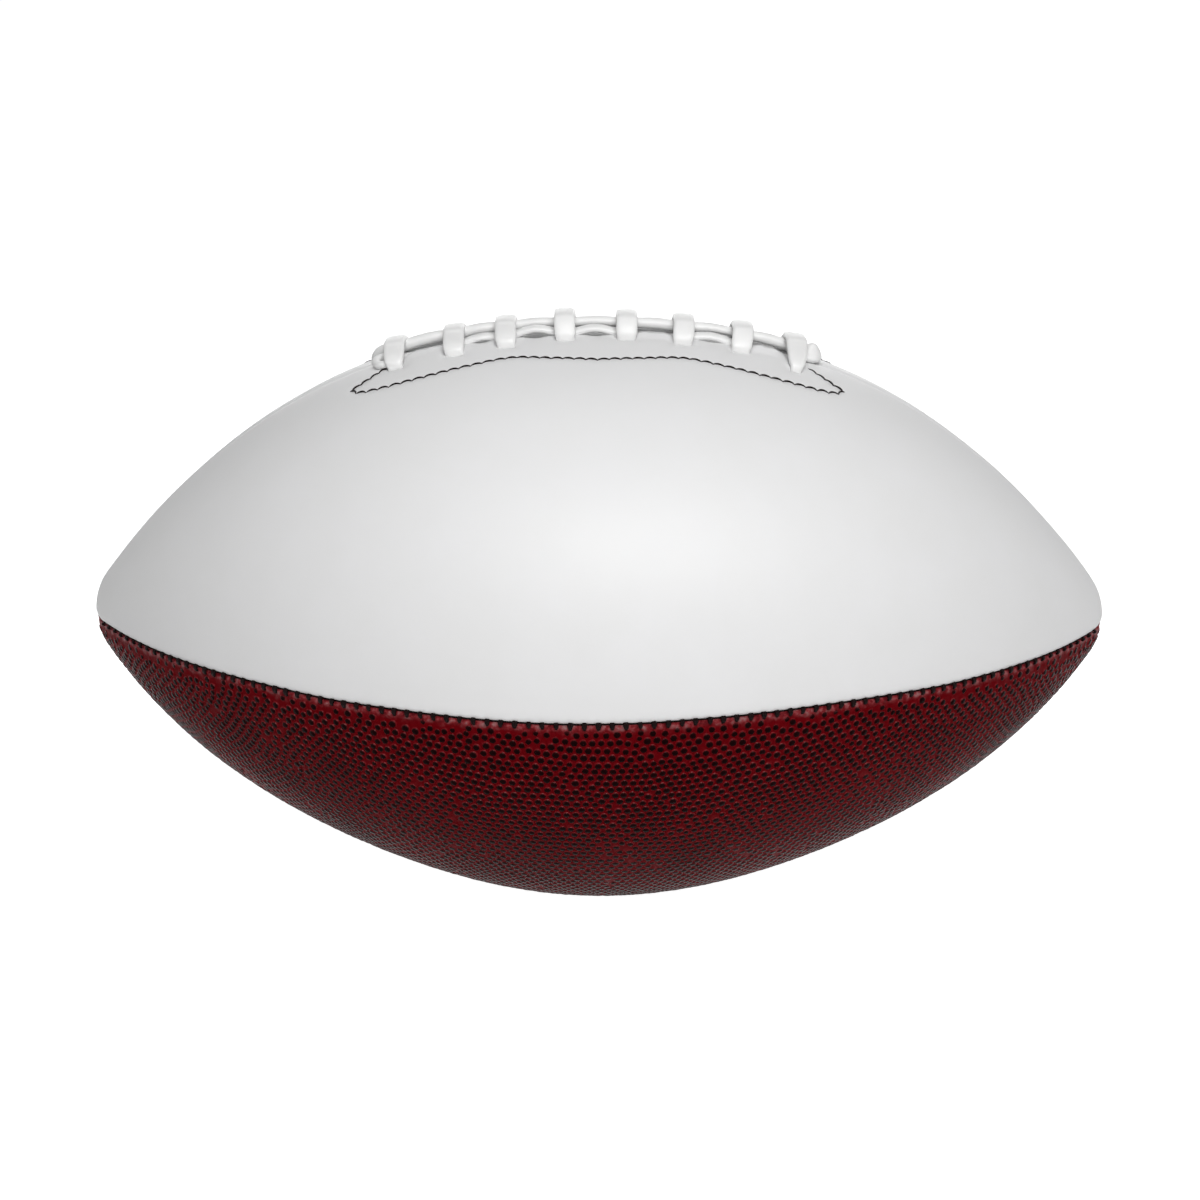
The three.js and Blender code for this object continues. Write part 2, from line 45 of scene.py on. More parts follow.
# Outside of the ball: a flank arc that runs into a round tip
ball = {
    "length": 290,
    "diameter": 163.5,
    "tipRadius": 18.8,
    "laceSwell": 2.1,  # quarter points stand towards the laces
    "seamGap": 0.3,
    # x along the ball, and how far below the quarter the front seam runs there
    "seamDrops": [(-145, 0.9), (-112, 1.85), (-70, 3.1), (-44, 2.45), (0, 1.25), (24, 1.0), (60, 1.55),
                  (92, 2.1), (115, 1.55), (145, 1.25)],
    "mostTurn": 0.1,  # of the seam at the tips, in radians
    "axisHeight": 81.702,  # above the floor
    "leastRing": 0.05,  # radius that stands for nothing at the very tips
    "panelTip": 0.25,  # half width at which a panel ends
    "leastTip": 0.2,  # and half the least width of its edges there
}
tipRadius = ball["tipRadius"]
halfLength = ball["length"] / 2
bellyRadius = ball["diameter"] / 2
tipCentre = halfLength - tipRadius
flankRadius = (tipCentre**2 + bellyRadius**2 - tipRadius**2) / (2 * (bellyRadius - tipRadius))
flankDrop = flankRadius - bellyRadius
flankLean = math.atan2(tipCentre, flankDrop)
flankRun = flankRadius * flankLean
quarter = math.pi / 4  # half of a panel's angle
panelCentres = {
    "front_upper": quarter,
    "front_lower": 3 * quarter,
    "rear_lower": 5 * quarter,
    "rear_upper": 7 * quarter,
}


def smooth(value, low, high):
    share = min(max((value - low) / (high - low), 0), 1)
    return share * share * (3 - 2 * share)


def mix(first, last, share):
    return first + (last - first) * share


# "Run" is the distance along the surface from the middle of the ball towards +X.
def leanAt(run):
    size = abs(run)
    lean = size / flankRadius if size <= flankRun else flankLean + (size - flankRun) / tipRadius
    return math.copysign(lean, run)


def profile(run, height=0):
    lean = leanAt(run)
    if abs(lean) <= flankLean:
        return (flankRadius + height) * math.sin(lean), (flankRadius + height) * math.cos(lean) - flankDrop
    x = math.copysign(tipCentre, run) + (tipRadius + height) * math.sin(lean)
    return x, (tipRadius + height) * math.cos(lean)


def ringRadius(run):
    return max(profile(run)[1], ball["leastRing"])


def halfWidth(run):
    return quarter * ringRadius(run)


# The angle turns from the laces (+Z) to the front (-Y). The front seam and what lies beside it turn down
# a little, and the laces, the bottom and the rear stay.
def turnedDown(run, angle):
    share = max(math.sin(angle), 0) ** 2
    if share == 0:
        return angle
    x = profile(run)[0]
    for (low, first), (high, last) in zip(ball["seamDrops"], ball["seamDrops"][1:]):
        if x <= high:
            break
    drop = mix(first, last, (x - low) / (high - low))
    return angle + share * min(drop / ringRadius(run), ball["mostTurn"])


def ballPoint(run, angle, height):
    x, r = profile(run, height)
    angle = turnedDown(run, angle)
    swell = ball["laceSwell"] * math.sin(math.pi * profile(run)[0] / halfLength) ** 2
    return Vector((x, -r * math.sin(angle), r * math.cos(angle) + swell + ball["axisHeight"]))


def ballDirections(run, angle):
    lean = leanAt(run)
    angle = turnedDown(run, angle)
    towardsFront = Vector((0, -math.cos(angle), -math.sin(angle)))
    radial = Vector((0, -math.sin(angle), math.cos(angle)))
    out = radial * math.cos(lean) + Vector((math.sin(lean), 0, 0))
    along = Vector((math.cos(lean), 0, 0)) - radial * math.sin(lean)
    return along, towardsFront, out


# A place by the laces: x along the ball, t from the lace seam towards the front, h above the surface
def runAt(x):
    return flankRadius * math.asin(x / flankRadius)


def lacePoint(x, t, h):
    run = runAt(x)
    return ballPoint(run, t / ringRadius(run), h)


def laceDirections(x, t):
    run = runAt(x)
    return ballDirections(run, t / ringRadius(run))


def curveThrough(points, stepsBetween):
    # smooth line through points of any number of values
    line = []
    for i in range(len(points) - 1):
        before, first = points[max(i - 1, 0)], points[i]
        last, after = points[i + 1], points[min(i + 2, len(points) - 1)]
        for k in range(stepsBetween):
            s = k / stepsBetween
            weights = (
                (-s + 2 * s**2 - s**3) / 2,
                (2 - 5 * s**2 + 3 * s**3) / 2,
                (s + 4 * s**2 - 3 * s**3) / 2,
                (s**3 - s**2) / 2,
            )
            line.append([sum(w * p[a] for w, p in zip(weights, (before, first, last, after)))
                         for a in range(len(first))])
    line.append(list(points[-1]))
    return line


def spacedAlong(line, spacing):
    # even places on a polyline, each with its direction
    length = sum((Vector(last) - Vector(first)).length for first, last in zip(line, line[1:]))
    spacing = length / round(length / spacing)
    places, left = [], spacing / 2
    for first, last in zip(line, line[1:]):
        step = Vector(last) - Vector(first)
        while left <= step.length:
            places.append((Vector(first) + step * (left / step.length), step.normalized()))
            left += spacing
        left -= step.length
    return places


def vertsOf(made):
    return [g for g in made if isinstance(g, bmesh.types.BMVert)]


def panelShift(centre):
    # a panel stands off its seams by half the gap between two panels
    off = ball["seamGap"] / (2 * math.sin(quarter))
    return Vector((0, -math.sin(centre), math.cos(centre))) * off


# Flat nets: x is the run, y the distance across the panel from its middle line, z the height.
def wrapOnBall(bm, centre):
    shift = panelShift(centre)
    for v in bm.verts:
        run, across, height = v.co
        v.co = ballPoint(run, centre - across / ringRadius(run), height) + shift


def triangleNet(bm, spacing, keep, shift=None):
    runShare = 1.3  # a panel's run is longer than the ball
    rowShare = 0.866  # height of an even triangle beside its side
    columns = 2 * int(halfLength * runShare / spacing)
    rows = 2 * int(halfWidth(0) / (spacing * rowShare) + 1)
    made = bmesh.ops.create_grid(bm, x_segments=columns, y_segments=rows, size=1)["verts"]
    for v in made:
        row = round((v.co.y + 1) * rows / 2)
        v.co.x = v.co.x * columns * spacing / 2 + (row % 2) * spacing / 2
        v.co.y = v.co.y * rows * spacing * rowShare / 2
        if shift:
            v.co += shift(v.co)
    quads = [f for f in bm.faces if len(f.verts) == 4]
    bmesh.ops.triangulate(bm, faces=quads, quad_method="SHORT_EDGE")
    outside = [v for v in made if not keep(v.co.x, v.co.y)]
    bmesh.ops.delete(bm, geom=outside, context="VERTS")
    made = [v for v in made if v.is_valid]
    while True:
        pinched = [v for v in made if not v.link_faces or sum(e.is_boundary for e in v.link_edges) > 2]
        if not pinched:
            break
        bmesh.ops.delete(bm, geom=pinched, context="VERTS")
        made = [v for v in made if v.is_valid]
    among = set(made)
    bmesh.ops.delete(bm, geom=[e for e in bm.edges if e.is_wire and e.verts[0] in among], context="EDGES")
    return made


def boundaryOf(bm, verts):
    among = set(verts)
    return [e for e in bm.edges if e.is_boundary and e.verts[0] in among]


def wireLoop(bm, layers, count, number, place):
    # closed loop of edges; each vertex keeps its share of the way round and the loop's number
    made = bmesh.ops.create_circle(bm, segments=count, radius=1)["verts"]
    for v in made:
        v[layers["share"]] = (math.atan2(v.co.y, v.co.x) / (2 * math.pi) + 0.5 / count) % 1
        v[layers["loop"]] = number
        v.co = place(v[layers["share"]])
    among = set(made)
    return [e for e in bm.edges if e.verts[0] in among]


def extrudeLoop(bm, layers, edges, place):
    made = bmesh.ops.extrude_edge_only(bm, edges=edges)["geom"]
    verts = set(vertsOf(made))
    for v in verts:
        v.co = place(v[layers["share"]])
    return [g for g in made if isinstance(g, bmesh.types.BMEdge) and set(g.verts) <= verts]


def loopEdges(bm, layers, number):
    return [e for e in bm.edges if all(v[layers["loop"]] == number for v in e.verts)
            and (e.is_boundary or e.is_wire)]


def fillBetween(bm, edges):
    bmesh.ops.triangle_fill(bm, use_beauty=True, edges=edges, normal=(0, 0, 1))


def finishPiece(bm, name, material, node):
    bmesh.ops.recalc_face_normals(bm, faces=bm.faces)
    if bm.calc_volume(signed=True) < 0:
        bmesh.ops.reverse_faces(bm, faces=bm.faces)
    bmesh.ops.scale(bm, vec=[1 / perMetre] * 3, verts=bm.verts)
    for f in bm.faces:
        f.smooth = True
    mesh = bpy.data.meshes.new(name)
    bm.to_mesh(mesh)
    bm.free()
    mesh.materials.append(material)
    piece = bpy.data.objects.new(name, mesh)
    scene.collection.objects.link(piece)
    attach(piece, "root")
    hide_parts(node)
    triangles = sum(len(p.vertices) - 2 for p in mesh.polygons)
    print(name, triangles, "triangles")
    return piece


# Outline of a panel, at an inset from its seams. The slit of the lacing moves the lace edge in.
def panelEnd(inset):
    lean = math.acos(min((inset + ball["panelTip"]) / quarter / tipRadius, 1))
    return flankRun + tipRadius * (lean - flankLean)


def panelOutline(panel, inset, height):
    def place(share):
        side = 1 if share < 0.5 else -1
        run = panelEnd(inset) * (4 * share - 1 if side > 0 else 3 - 4 * share)
        width = halfWidth(run) - inset
        if side == panel["laceSide"]:
            width -= slitAt(run, side)
        return Vector((run, side * max(width, ball["leastTip"]), height(run, share)))
    return place


def insetAt(panel, run, across):
    # distance of a flat place from the nearest seam
    near = halfWidth(run) - abs(across)
    if panel["laceSide"] * across > 0:
        near -= slitAt(run, panel["laceSide"])
    return near


# Lacing: straps, long strands and the slit below them
lacing = {
    "pitch": 15.9,  # even pitch of the eight straps, which sets how long the slit is
    "strapX": [-55.4, -39.6, -25.7, -9.85, 6.8, 22.05, 37.8, 52.0],
    # how the near half of a strap turns along the ball
    "strapLean": [-0.054, -0.012, 0, 0.006, 0.006, 0.012, 0.015, 0.072],
    "nearHoles": [10.5, 11.2, 10.4, 7.8, 7.4, 8.3, 8.2, 12.6],  # distance from the lace seam
    "nearNarrow": [0.85, 1, 1, 1, 1, 1, 1, 0.62],  # share of the strap's width at its foot
    "farHoles": [8.3] * 8,
    "endHole": (-56.5, 7.3),
    "farEndHole": (-62.6, -4.5),
    "endHoleRadius": 1.3,
    "slotBend": 0.6,  # of a strap's hole: 1 is an ellipse, less is squarer
    "slit": 1.5,
    "slitEnd": (0.5, 3),  # it closes between these distances past the last strap
    "slitBulge": 3.2,  # opening between two straps, under the arched strand
    "bulgeEnd": 1.5,  # distance from a strap
    "gapShares": [0.2, 1, 1, 0.9, 0.15, 0.65, 0.1],
    "farGapShare": 0.2,
    "gapRise": [1.2, 0.1, 0, 0, 1.5, 0.1, 1.8],  # the leather's edge there stands up to the strand
    "gapRiseEnd": 6,
}
strapX = lacing["strapX"]
lastStrap = (len(strapX) - 1) / 2 * lacing["pitch"]


def betweenStraps(k):
    # middle and half length of the gap after strap k
    return (strapX[k] + strapX[k + 1]) / 2, (strapX[k + 1] - strapX[k]) / 2


def slitAt(run, side):
    x = profile(run)[0]
    ends = 1 - smooth(abs(x), *(lastStrap + past for past in lacing["slitEnd"]))
    bulge = 0
    for k, share in enumerate(lacing["gapShares"]):
        middle, half = betweenStraps(k)
        amount = share if side > 0 else lacing["farGapShare"]
        bulge += amount * (1 - smooth(abs(x - middle), 0, half - lacing["bulgeEnd"]))
    return ends * (lacing["slit"] + lacing["slitBulge"] * bulge)


def gapRiseAt(x):
    rise = 0
    for k, amount in enumerate(lacing["gapRise"]):
        middle, half = betweenStraps(k)
        rise += amount * (1 - smooth(abs(x - middle), half - lacing["gapRiseEnd"], half))
    return rise


def strapAt(k, t):
    return strapX[k] + lacing["strapLean"][k] * max(t, 0)


def laceHoles(side, grow):
    holes = []
    for k, offset in enumerate(lacing["nearHoles" if side > 0 else "farHoles"]):
        run = runAt(strapAt(k, side * offset))
        at = (run, side * (halfWidth(run) - offset))
        width = whitePanel["slot"][0] * (lacing["nearNarrow"][k] if side > 0 else 1)
        slot = (width + grow, whitePanel["slot"][1] + grow)
        holes.append({"at": at, "size": slot, "bend": lacing["slotBend"]})
    x, t = lacing["endHole" if side > 0 else "farEndHole"]
    run, radius = runAt(x), lacing["endHoleRadius"] + grow
    holes.append({"at": (run, side * (halfWidth(run) - abs(t))), "size": (radius, radius), "bend": 1})
    return holes


# Stitch lines that hold the facing: a long one beside the lacing, and a branch at each end back to the lace
facingLine = {
    # x from the line's middle, and distance from the lace seam
    "points": [(0, 21.4), (11.8, 20.1), (23.1, 18.3), (34.5, 19.9), (45.8, 21.1), (55.2, 21), (61.1, 20),
               (64.6, 18.4)],
    "corner": (66.6, 15.8),
    "branch": [(63.6, 13.7), (60.1, 10.8), (57.7, 8.6)],
    "middle": -0.95,
    "pitch": 3.15,
    "steps": (8, 6),  # of the curve between two points, on the long line and on a branch
    # one stitch: along, above the surface, width, thickness, sideways
    "stitch": [(-1.72, -0.22, 0.2, 0.24, -0.42), (-1.4, -0.08, 0.34, 0.34, -0.23),
               (-0.95, -0.01, 0.44, 0.42, 0.03), (-0.4, 0.02, 0.5, 0.46, 0.18), (0, 0.03, 0.5, 0.46, 0.22),
               (0.4, 0.02, 0.5, 0.46, 0.18), (0.95, -0.01, 0.44, 0.42, 0.03),
               (1.4, -0.08, 0.34, 0.34, -0.23), (1.72, -0.22, 0.2, 0.24, -0.42)],
    "stitchSides": 6,
    "stitchLean": 0.06,
}


def facingLines(side):
    longSteps, branchSteps = facingLine["steps"]
    half = curveThrough(facingLine["points"] + [facingLine["corner"]], longSteps)
    branch = curveThrough([facingLine["corner"]] + facingLine["branch"], branchSteps)
    mirrored = [[(-x, t) for x, t in reversed(line)] for line in (half, branch)]
    return [[(x + facingLine["middle"], side * t, 0) for x, t in line]
            for line in (mirrored[0] + half[1:], branch, mirrored[1])]


# Panels of white leather
whitePanel = {
    "net": 1.15,
    "edge": 1.7,  # where the net ends and the rolled lip starts
    "margin": 0.45,  # of the net's spacing
    "outlineSteps": 900,
    "lip": [(1.25, 0.1), (0.85, 0.22), (0.5, 0.42), (0.22, 0.74), (0.05, 1.2), (0, 2.2)],  # inset, depth
    "lipPull": 0.05,  # by the seam's stitches
    "thickness": 2.4,
    "flange": (1.6, 4.6),  # leather turned in at the seams: width, depth
    "backNet": 6,
    "rim": 0.32,  # past a hole's edge
    "holeRim": [(0.18, 0.08), (0.06, 0.3), (0, 0.7)],  # past a hole's edge, depth
    "slot": (2.35, 0.95),
    "dressedRun": 85,  # half the run that the lacing and the facing shape
    "padding": 0.35,  # leather stands up round the straps
    "paddingRise": (2, 6),  # distances from the lace seam
    "paddingFall": (9, 19),
    "paddingEnd": (50, 68),
    "gapRiseFall": (2, 8),
    "dimple": 0.4,  # round a lace hole
    "dimpleReach": 1.7,
    "dimpleEnd": 9,
    "stitchPull": 0.32,
    "pullShares": (0.75, 0.25),  # even along the line of stitches, and more at each stitch
    "pullReach": 1.15,
    "pullEnd": 5,
    "pullStep": 0.5,
    "waves": (0.1, 22),  # height and length of slow waves in the leather
    "wavesApart": 40,  # between the waves of the two panels
}

# Panels of pebbled leather
pebbledPanel = {
    "net": 2.38,
    "edge": 0.75,
    "margin": 0.12,
    "outlineSteps": 860,
    # inset, depth, and how much deeper it is at a stitch
    "lip": [(0.6, 0.42, 0.3), (0.42, 0.58, 0.32), (0.26, 0.85, 0.24), (0.1, 1.3, 0.1), (0.02, 1.9, 0),
            (0, 2.6, 0)],
    "seeds": {"front_lower": 11, "rear_lower": 12},
    "wander": (2.2, 24),  # rows of pebbles stray by this much, over this length
    "wanderSeed": 3,  # noise vectors start from the clock without one
    "wanderApart": 10,  # between one panel's seed and the next
    "dropped": 0.03,  # share of the net's knots left out
    "firstRow": (1.9, 2.6),  # inset of the pebbles beside the seams
    "firstRowStray": 0.12,
    "firstRowFrom": (3.6, 8),  # greatest distance of its knots from the seam, and least from a tip
    "crowded": 1.75,  # knots of the row that are nearer to each other than this become one
    "base": 0.3,  # valleys below the ball's surface
    "thickness": 2.7,
    "flange": (1.6, 4.6),
    "backNet": 6,
    "rim": 0.7,
    "holeRim": [(0.35, 0.1), (0.1, 0.4), (0, 0.9)],
    "jitter": 0.36,
    "settle": 15,  # turns of pushing the knots apart, the later ones beside the seams only
    "settleBeside": 12,
    "reach": 2.6,
    "push": 0.22,
    "evenOut": 3,  # turns between two rounds of better triangles
    "rimPull": 0.7,  # draws the net's outer corners to the lip
    "pebbleRadius": 0.84,
    "radiusRange": (0.9, 1.1),
    "leastRadius": 0.7,  # a pebble with less room than this share is left out
    "pebbleHeight": 0.32,
    "heightRange": (0.8, 1.1),
    "seamHeight": 0.4,  # share of the height that is left beside a seam
    "fullHeight": (1.0, 3.0),  # insets
    "shoulderRise": 0.82,
    "pucker": 0.42,
    "puckerReach": 2.2,
    "lipReach": (0.8, 2.1),  # the smooth red along the seam fades out between these insets
    "valveHole": 3.5,
    "valveDent": (0.5, 1.8),  # depth, reach
}

# How the nets of both kinds of panel meet their edges and holes
netFit = {
    "end": 0.4,  # share of the spacing by which a net stops short of the panel's ends
    "holeGap": 0.4,  # and short of a hole, with a share of the spacing
    "holeShare": 0.45,
    "holeSteps": 24,
    "flangeWall": 0.3,
    "backEdge": 0.4,  # shares for the net on the back
    "backHole": 0.5,
}
seamPitch = 3.55  # stitches along the seams


def superPlace(hole, grow, share):
    turn = 2 * math.pi * share
    c, s = math.cos(turn), math.sin(turn)
    bend = hole["bend"]
    x = math.copysign(abs(c) ** bend, c) * (hole["size"][0] + grow)
    y = math.copysign(abs(s) ** bend, s) * (hole["size"][1] + grow)
    return hole["at"][0] + x, hole["at"][1] + y


def fromHole(hole, run, across):
    # rough distance outside a hole's edge, taken as a box with round corners
    box, corner = 0.7, 0.3
    x = max(abs(run - hole["at"][0]) - hole["size"][0] * box, 0)
    y = max(abs(across - hole["at"][1]) - hole["size"][1] * box, 0)
    return math.hypot(x, y) - corner * min(hole["size"])


def panelShell(panel, size, kind, shift, loosen):
    # outer net of one panel, in flat coordinates, filled out to the outline and the holes;
    # its knots keep their kind, 1 where a pebble will be and 0 elsewhere
    bm = bmesh.new()
    layers = {
        "share": bm.verts.layers.float.new("share"),
        "loop": bm.verts.layers.int.new("loop"),
        "kind": bm.verts.layers.float.new("kind"),
        "flat": bm.verts.layers.float_vector.new("flat"),
        "lip": bm.verts.layers.float.new("lip"),
    }
    edge, spacing = size["edge"], size["net"]
    holes = panel["holes"]

    def inside(run, across):
        if insetAt(panel, run, across) < edge + spacing * size["margin"]:
            return False
        if abs(run) > panelEnd(edge) - spacing * netFit["end"]:
            return False
        clear = netFit["holeGap"] + spacing * netFit["holeShare"]
        return all(fromHole(h, run, across) > clear for h in holes)

    net = loosen(bm, triangleNet(bm, spacing, inside, shift))
    for v in net:
        v[layers["kind"]] = kind
    outline = panelOutline(panel, edge, lambda run, share: 0)
    edges = boundaryOf(bm, net) + wireLoop(bm, layers, size["outlineSteps"], 1, outline)
    for i, h in enumerate(holes):
        edges += wireLoop(bm, layers, netFit["holeSteps"], 2 + i,
                          lambda share: Vector((*superPlace(h, size["rim"], share), 0)))
    fillBetween(bm, edges)
    return bm, layers


def beautifyOnBall(bm, layers, centre):
    # even out the triangles as they lie on the ball, and come back to the flat net
    for v in bm.verts:
        v[layers["flat"]] = v.co
    wrapOnBall(bm, centre)
    inner = [e for e in bm.edges if len(e.link_faces) == 2]
    bmesh.ops.beautify_fill(bm, faces=bm.faces, edges=inner, method="ANGLE")
    for v in bm.verts:
        v.co = v[layers["flat"]]


def closeShell(bm, layers, panel, size, lipHeight, surface):
    holes = panel["holes"]
    lip = loopEdges(bm, layers, 1)
    for ring in size["lip"]:
        lip = extrudeLoop(bm, layers, lip, panelOutline(panel, ring[0], lipHeight(ring)))
    flangeInset, flangeDepth = size["flange"]
    backEdge, thickness = flangeInset + netFit["flangeWall"], size["thickness"]
    for inset, depth in ((0, flangeDepth), (flangeInset, flangeDepth), (backEdge, thickness)):
        lip = extrudeLoop(bm, layers, lip, panelOutline(panel, inset, lambda run, share: -depth))
    walls = []
    for i, h in enumerate(holes):
        wall = loopEdges(bm, layers, 2 + i)
        for grow, drop in size["holeRim"]:
            wall = extrudeLoop(bm, layers, wall, lambda share: Vector(
                (*superPlace(h, grow, share), surface(*superPlace(h, grow, share)) - drop)))
        walls += extrudeLoop(bm, layers, wall, lambda share: Vector((*superPlace(h, 0, share), -thickness)))
    step = size["backNet"]

    def behind(run, across):
        short = step * netFit["backEdge"]
        if insetAt(panel, run, across) < backEdge + short or abs(run) > panelEnd(backEdge) - short:
            return False
        return all(fromHole(h, run, across) > step * netFit["backHole"] for h in holes)

    back = triangleNet(bm, step, behind)
    for v in back:
        v.co.z = -thickness
    fillBetween(bm, lip + walls + boundaryOf(bm, back))


def dropLayers(bm, layers, kept):
    stored = bm.verts.layers
    for name in layers:
        if name not in kept:
            store = {"loop": stored.int, "flat": stored.float_vector}.get(name, stored.float)
            store.remove(store[name])


def seamStitchAt(run):
    # 1 at a stitch of the seam, 0 half way between two
    return 0.5 + 0.5 * math.cos(2 * math.pi * run / seamPitch)


# Materials
def materialNodes(name):
    material = bpy.data.materials.new(name)
    material.use_nodes = True
    nodes, links = material.node_tree.nodes, material.node_tree.links
    return material, nodes, links, nodes["Principled BSDF"]


def addNode(nodes, kind, settings=None, **inputs):
    node = nodes.new(kind)
    for key, value in (settings or {}).items():
        setattr(node, key, value)
    for key, value in inputs.items():
        node.inputs[key].default_value = value
    return node


def addRamp(nodes, stops):
    ramp = nodes.new("ShaderNodeValToRGB")
    elements = ramp.color_ramp.elements
    while len(elements) < len(stops):
        elements.new(0.5)
    for element, (place, colour) in zip(elements, stops):
        element.position = place
        element.color = (*colour, 1) if isinstance(colour, tuple) else (colour, colour, colour, 1)
    return ramp


def grainBump(nodes, links, shader, coordinates, layersOfGrain):
    # noise layers, each (scale per metre, detail, strength, distance in metres), into one chain of bumps
    normal = None
    for scale, detail, strength, distance in layersOfGrain:
        grain = addNode(nodes, "ShaderNodeTexNoise", Scale=scale, Detail=detail)
        bump = addNode(nodes, "ShaderNodeBump", Strength=strength, Distance=distance)
        links.new(coordinates, grain.inputs["Vector"])
        links.new(grain.outputs["Fac"], bump.inputs["Height"])
        if normal:
            links.new(normal, bump.inputs["Normal"])
        normal = bump.outputs["Normal"]
    links.new(normal, shader.inputs["Normal"])


def mottled(nodes, links, shader, coordinates, scale, colours, roughness):
    # slow change of colour and gloss over the surface
    patches = addNode(nodes, "ShaderNodeTexNoise", Scale=scale, Detail=5.0)
    links.new(coordinates, patches.inputs["Vector"])
    stops = 0.3, 0.7  # most of the noise lies between these
    tint = addRamp(nodes, list(zip(stops, colours)))
    gloss = addRamp(nodes, list(zip(stops, roughness)))
    for ramp, socket in ((tint, "Base Color"), (gloss, "Roughness")):
        links.new(patches.outputs["Fac"], ramp.inputs["Fac"])
        links.new(ramp.outputs["Color"], shader.inputs[socket])


def mottledMaterial(name, scale, colours, roughness, grain, specular=0.5):
    material, nodes, links, shader = materialNodes(name)
    coordinates = nodes.new("ShaderNodeTexCoord").outputs["Object"]
    mottled(nodes, links, shader, coordinates, scale, colours, roughness)
    grainBump(nodes, links, shader, coordinates, grain)
    shader.inputs["Specular IOR Level"].default_value = specular
    return material


whiteLeather = mottledMaterial(
    "white_leather", scale=60, colours=[(0.8, 0.8, 0.8), (0.815, 0.815, 0.82)], roughness=[0.44, 0.5],
    grain=[(2600, 3, 0.1, 0.0001), (900, 2, 0.06, 0.0002)])
laceVinyl = mottledMaterial(
    "lace_vinyl", scale=150, colours=[(0.84, 0.84, 0.835), (0.88, 0.88, 0.875)], roughness=[0.34, 0.42],
    grain=[(1800, 3, 0.12, 0.0001)])
blackThread = mottledMaterial(
    "black_thread", scale=1500, colours=[(0.003, 0.001, 0.001), (0.01, 0.003, 0.003)],
    roughness=[0.22, 0.5], grain=[(2600, 3, 0.8, 0.0003)], specular=0.05)
facingLeather = mottledMaterial(
    "facing_leather", scale=200, colours=[(0.035, 0.028, 0.022), (0.055, 0.045, 0.036)],
    roughness=[0.75, 0.9], grain=[(1500, 4, 0.35, 0.0002)])
bladderRubber = mottledMaterial(
    "bladder_rubber", scale=90, colours=[(0.012, 0.012, 0.012), (0.02, 0.02, 0.02)],
    roughness=[0.55, 0.7], grain=[(700, 3, 0.15, 0.0002)])
valveRubber = mottledMaterial(
    "valve_rubber", scale=300, colours=[(0.014, 0.014, 0.014), (0.022, 0.022, 0.022)],
    roughness=[0.42, 0.55], grain=[(2200, 2, 0.15, 0.0001)])


# Black pebble tops on a red net. Ramps run from 0 in a pebble's middle past 0.5 at its edge. The red is
# lighter on a pebble's flank, a painted highlight, and darker in the valleys, painted shade. The side
# towards the white panel, which is the upper side, has more shine: a painted highlight. Along the seams a
# smooth red band has pale spots, which are painted highlights, and fine creases.
pebbledLook = {
    # the lighter red at 0.6, on a pebble's flank, is a painted highlight, and the darker red at 0.72, in
    # the valleys, is painted shade
    "colour": [(0.41, (0.005, 0.0006, 0.0008)), (0.52, (0.065, 0.002, 0.003)), (0.6, (0.17, 0.005, 0.008)),
               (0.72, (0.11, 0.001, 0.003))],
    "roughness": [(0.42, 0.25), (0.56, 0.35), (0.72, 0.45)],
    "shine": [(0.42, 0.03), (0.53, 0.24), (0.61, 0.2), (0.72, 0.03)],
    "shineTint": (1, 0.5, 0.5, 1),
    "leastShine": 0.014,
    # more shine on the side towards the white panel, the upper side: a painted highlight
    "paintedUpperShine": [(0.0, 0.1), (0.42, 1.0)],
    "dome": [(0.4, 1.0), (0.72, 0.0)],
    "domeHeight": 0.0004,
    "grain": [(2400, 3, 0.2, 0.0001)],
    # the seam band's red is its own colour, and its pale pink and grey stops are painted highlights on the
    # puckers
    "band": [(0.36, (0.1, 0.005, 0.008)), (0.48, (0.2, 0.018, 0.022)), (0.58, (0.26, 0.06, 0.065)),
             (0.68, (0.28, 0.13, 0.13))],
    "bandGlintSpots": 650.0,
    "bandShine": 0.08,
    "creaseScale": (1500, 150, 150),
    "creaseHeight": 0.0005,
}


def addBump(nodes, links, shader, height, distance):
    # one more bump, on top of those that the shader has
    bump = addNode(nodes, "ShaderNodeBump", Strength=1.0, Distance=distance)
    links.new(height, bump.inputs["Height"])
    links.new(shader.inputs["Normal"].links[0].from_socket, bump.inputs["Normal"])
    links.new(bump.outputs["Normal"], shader.inputs["Normal"])


def creases(nodes, links, shader, coordinates, share):
    # fine gathers that run away from the seam, where the share is above 0
    stretch = addNode(nodes, "ShaderNodeMapping", Scale=pebbledLook["creaseScale"])
    folds = addNode(nodes, "ShaderNodeTexNoise", Scale=1.0, Detail=3.0)
    height = addNode(nodes, "ShaderNodeMath", {"operation": "MULTIPLY"})
    links.new(coordinates, stretch.inputs["Vector"])
    links.new(stretch.outputs["Vector"], folds.inputs["Vector"])
    links.new(folds.outputs["Fac"], height.inputs[0])
    links.new(share, height.inputs[1])
    addBump(nodes, links, shader, height.outputs["Value"], pebbledLook["creaseHeight"])


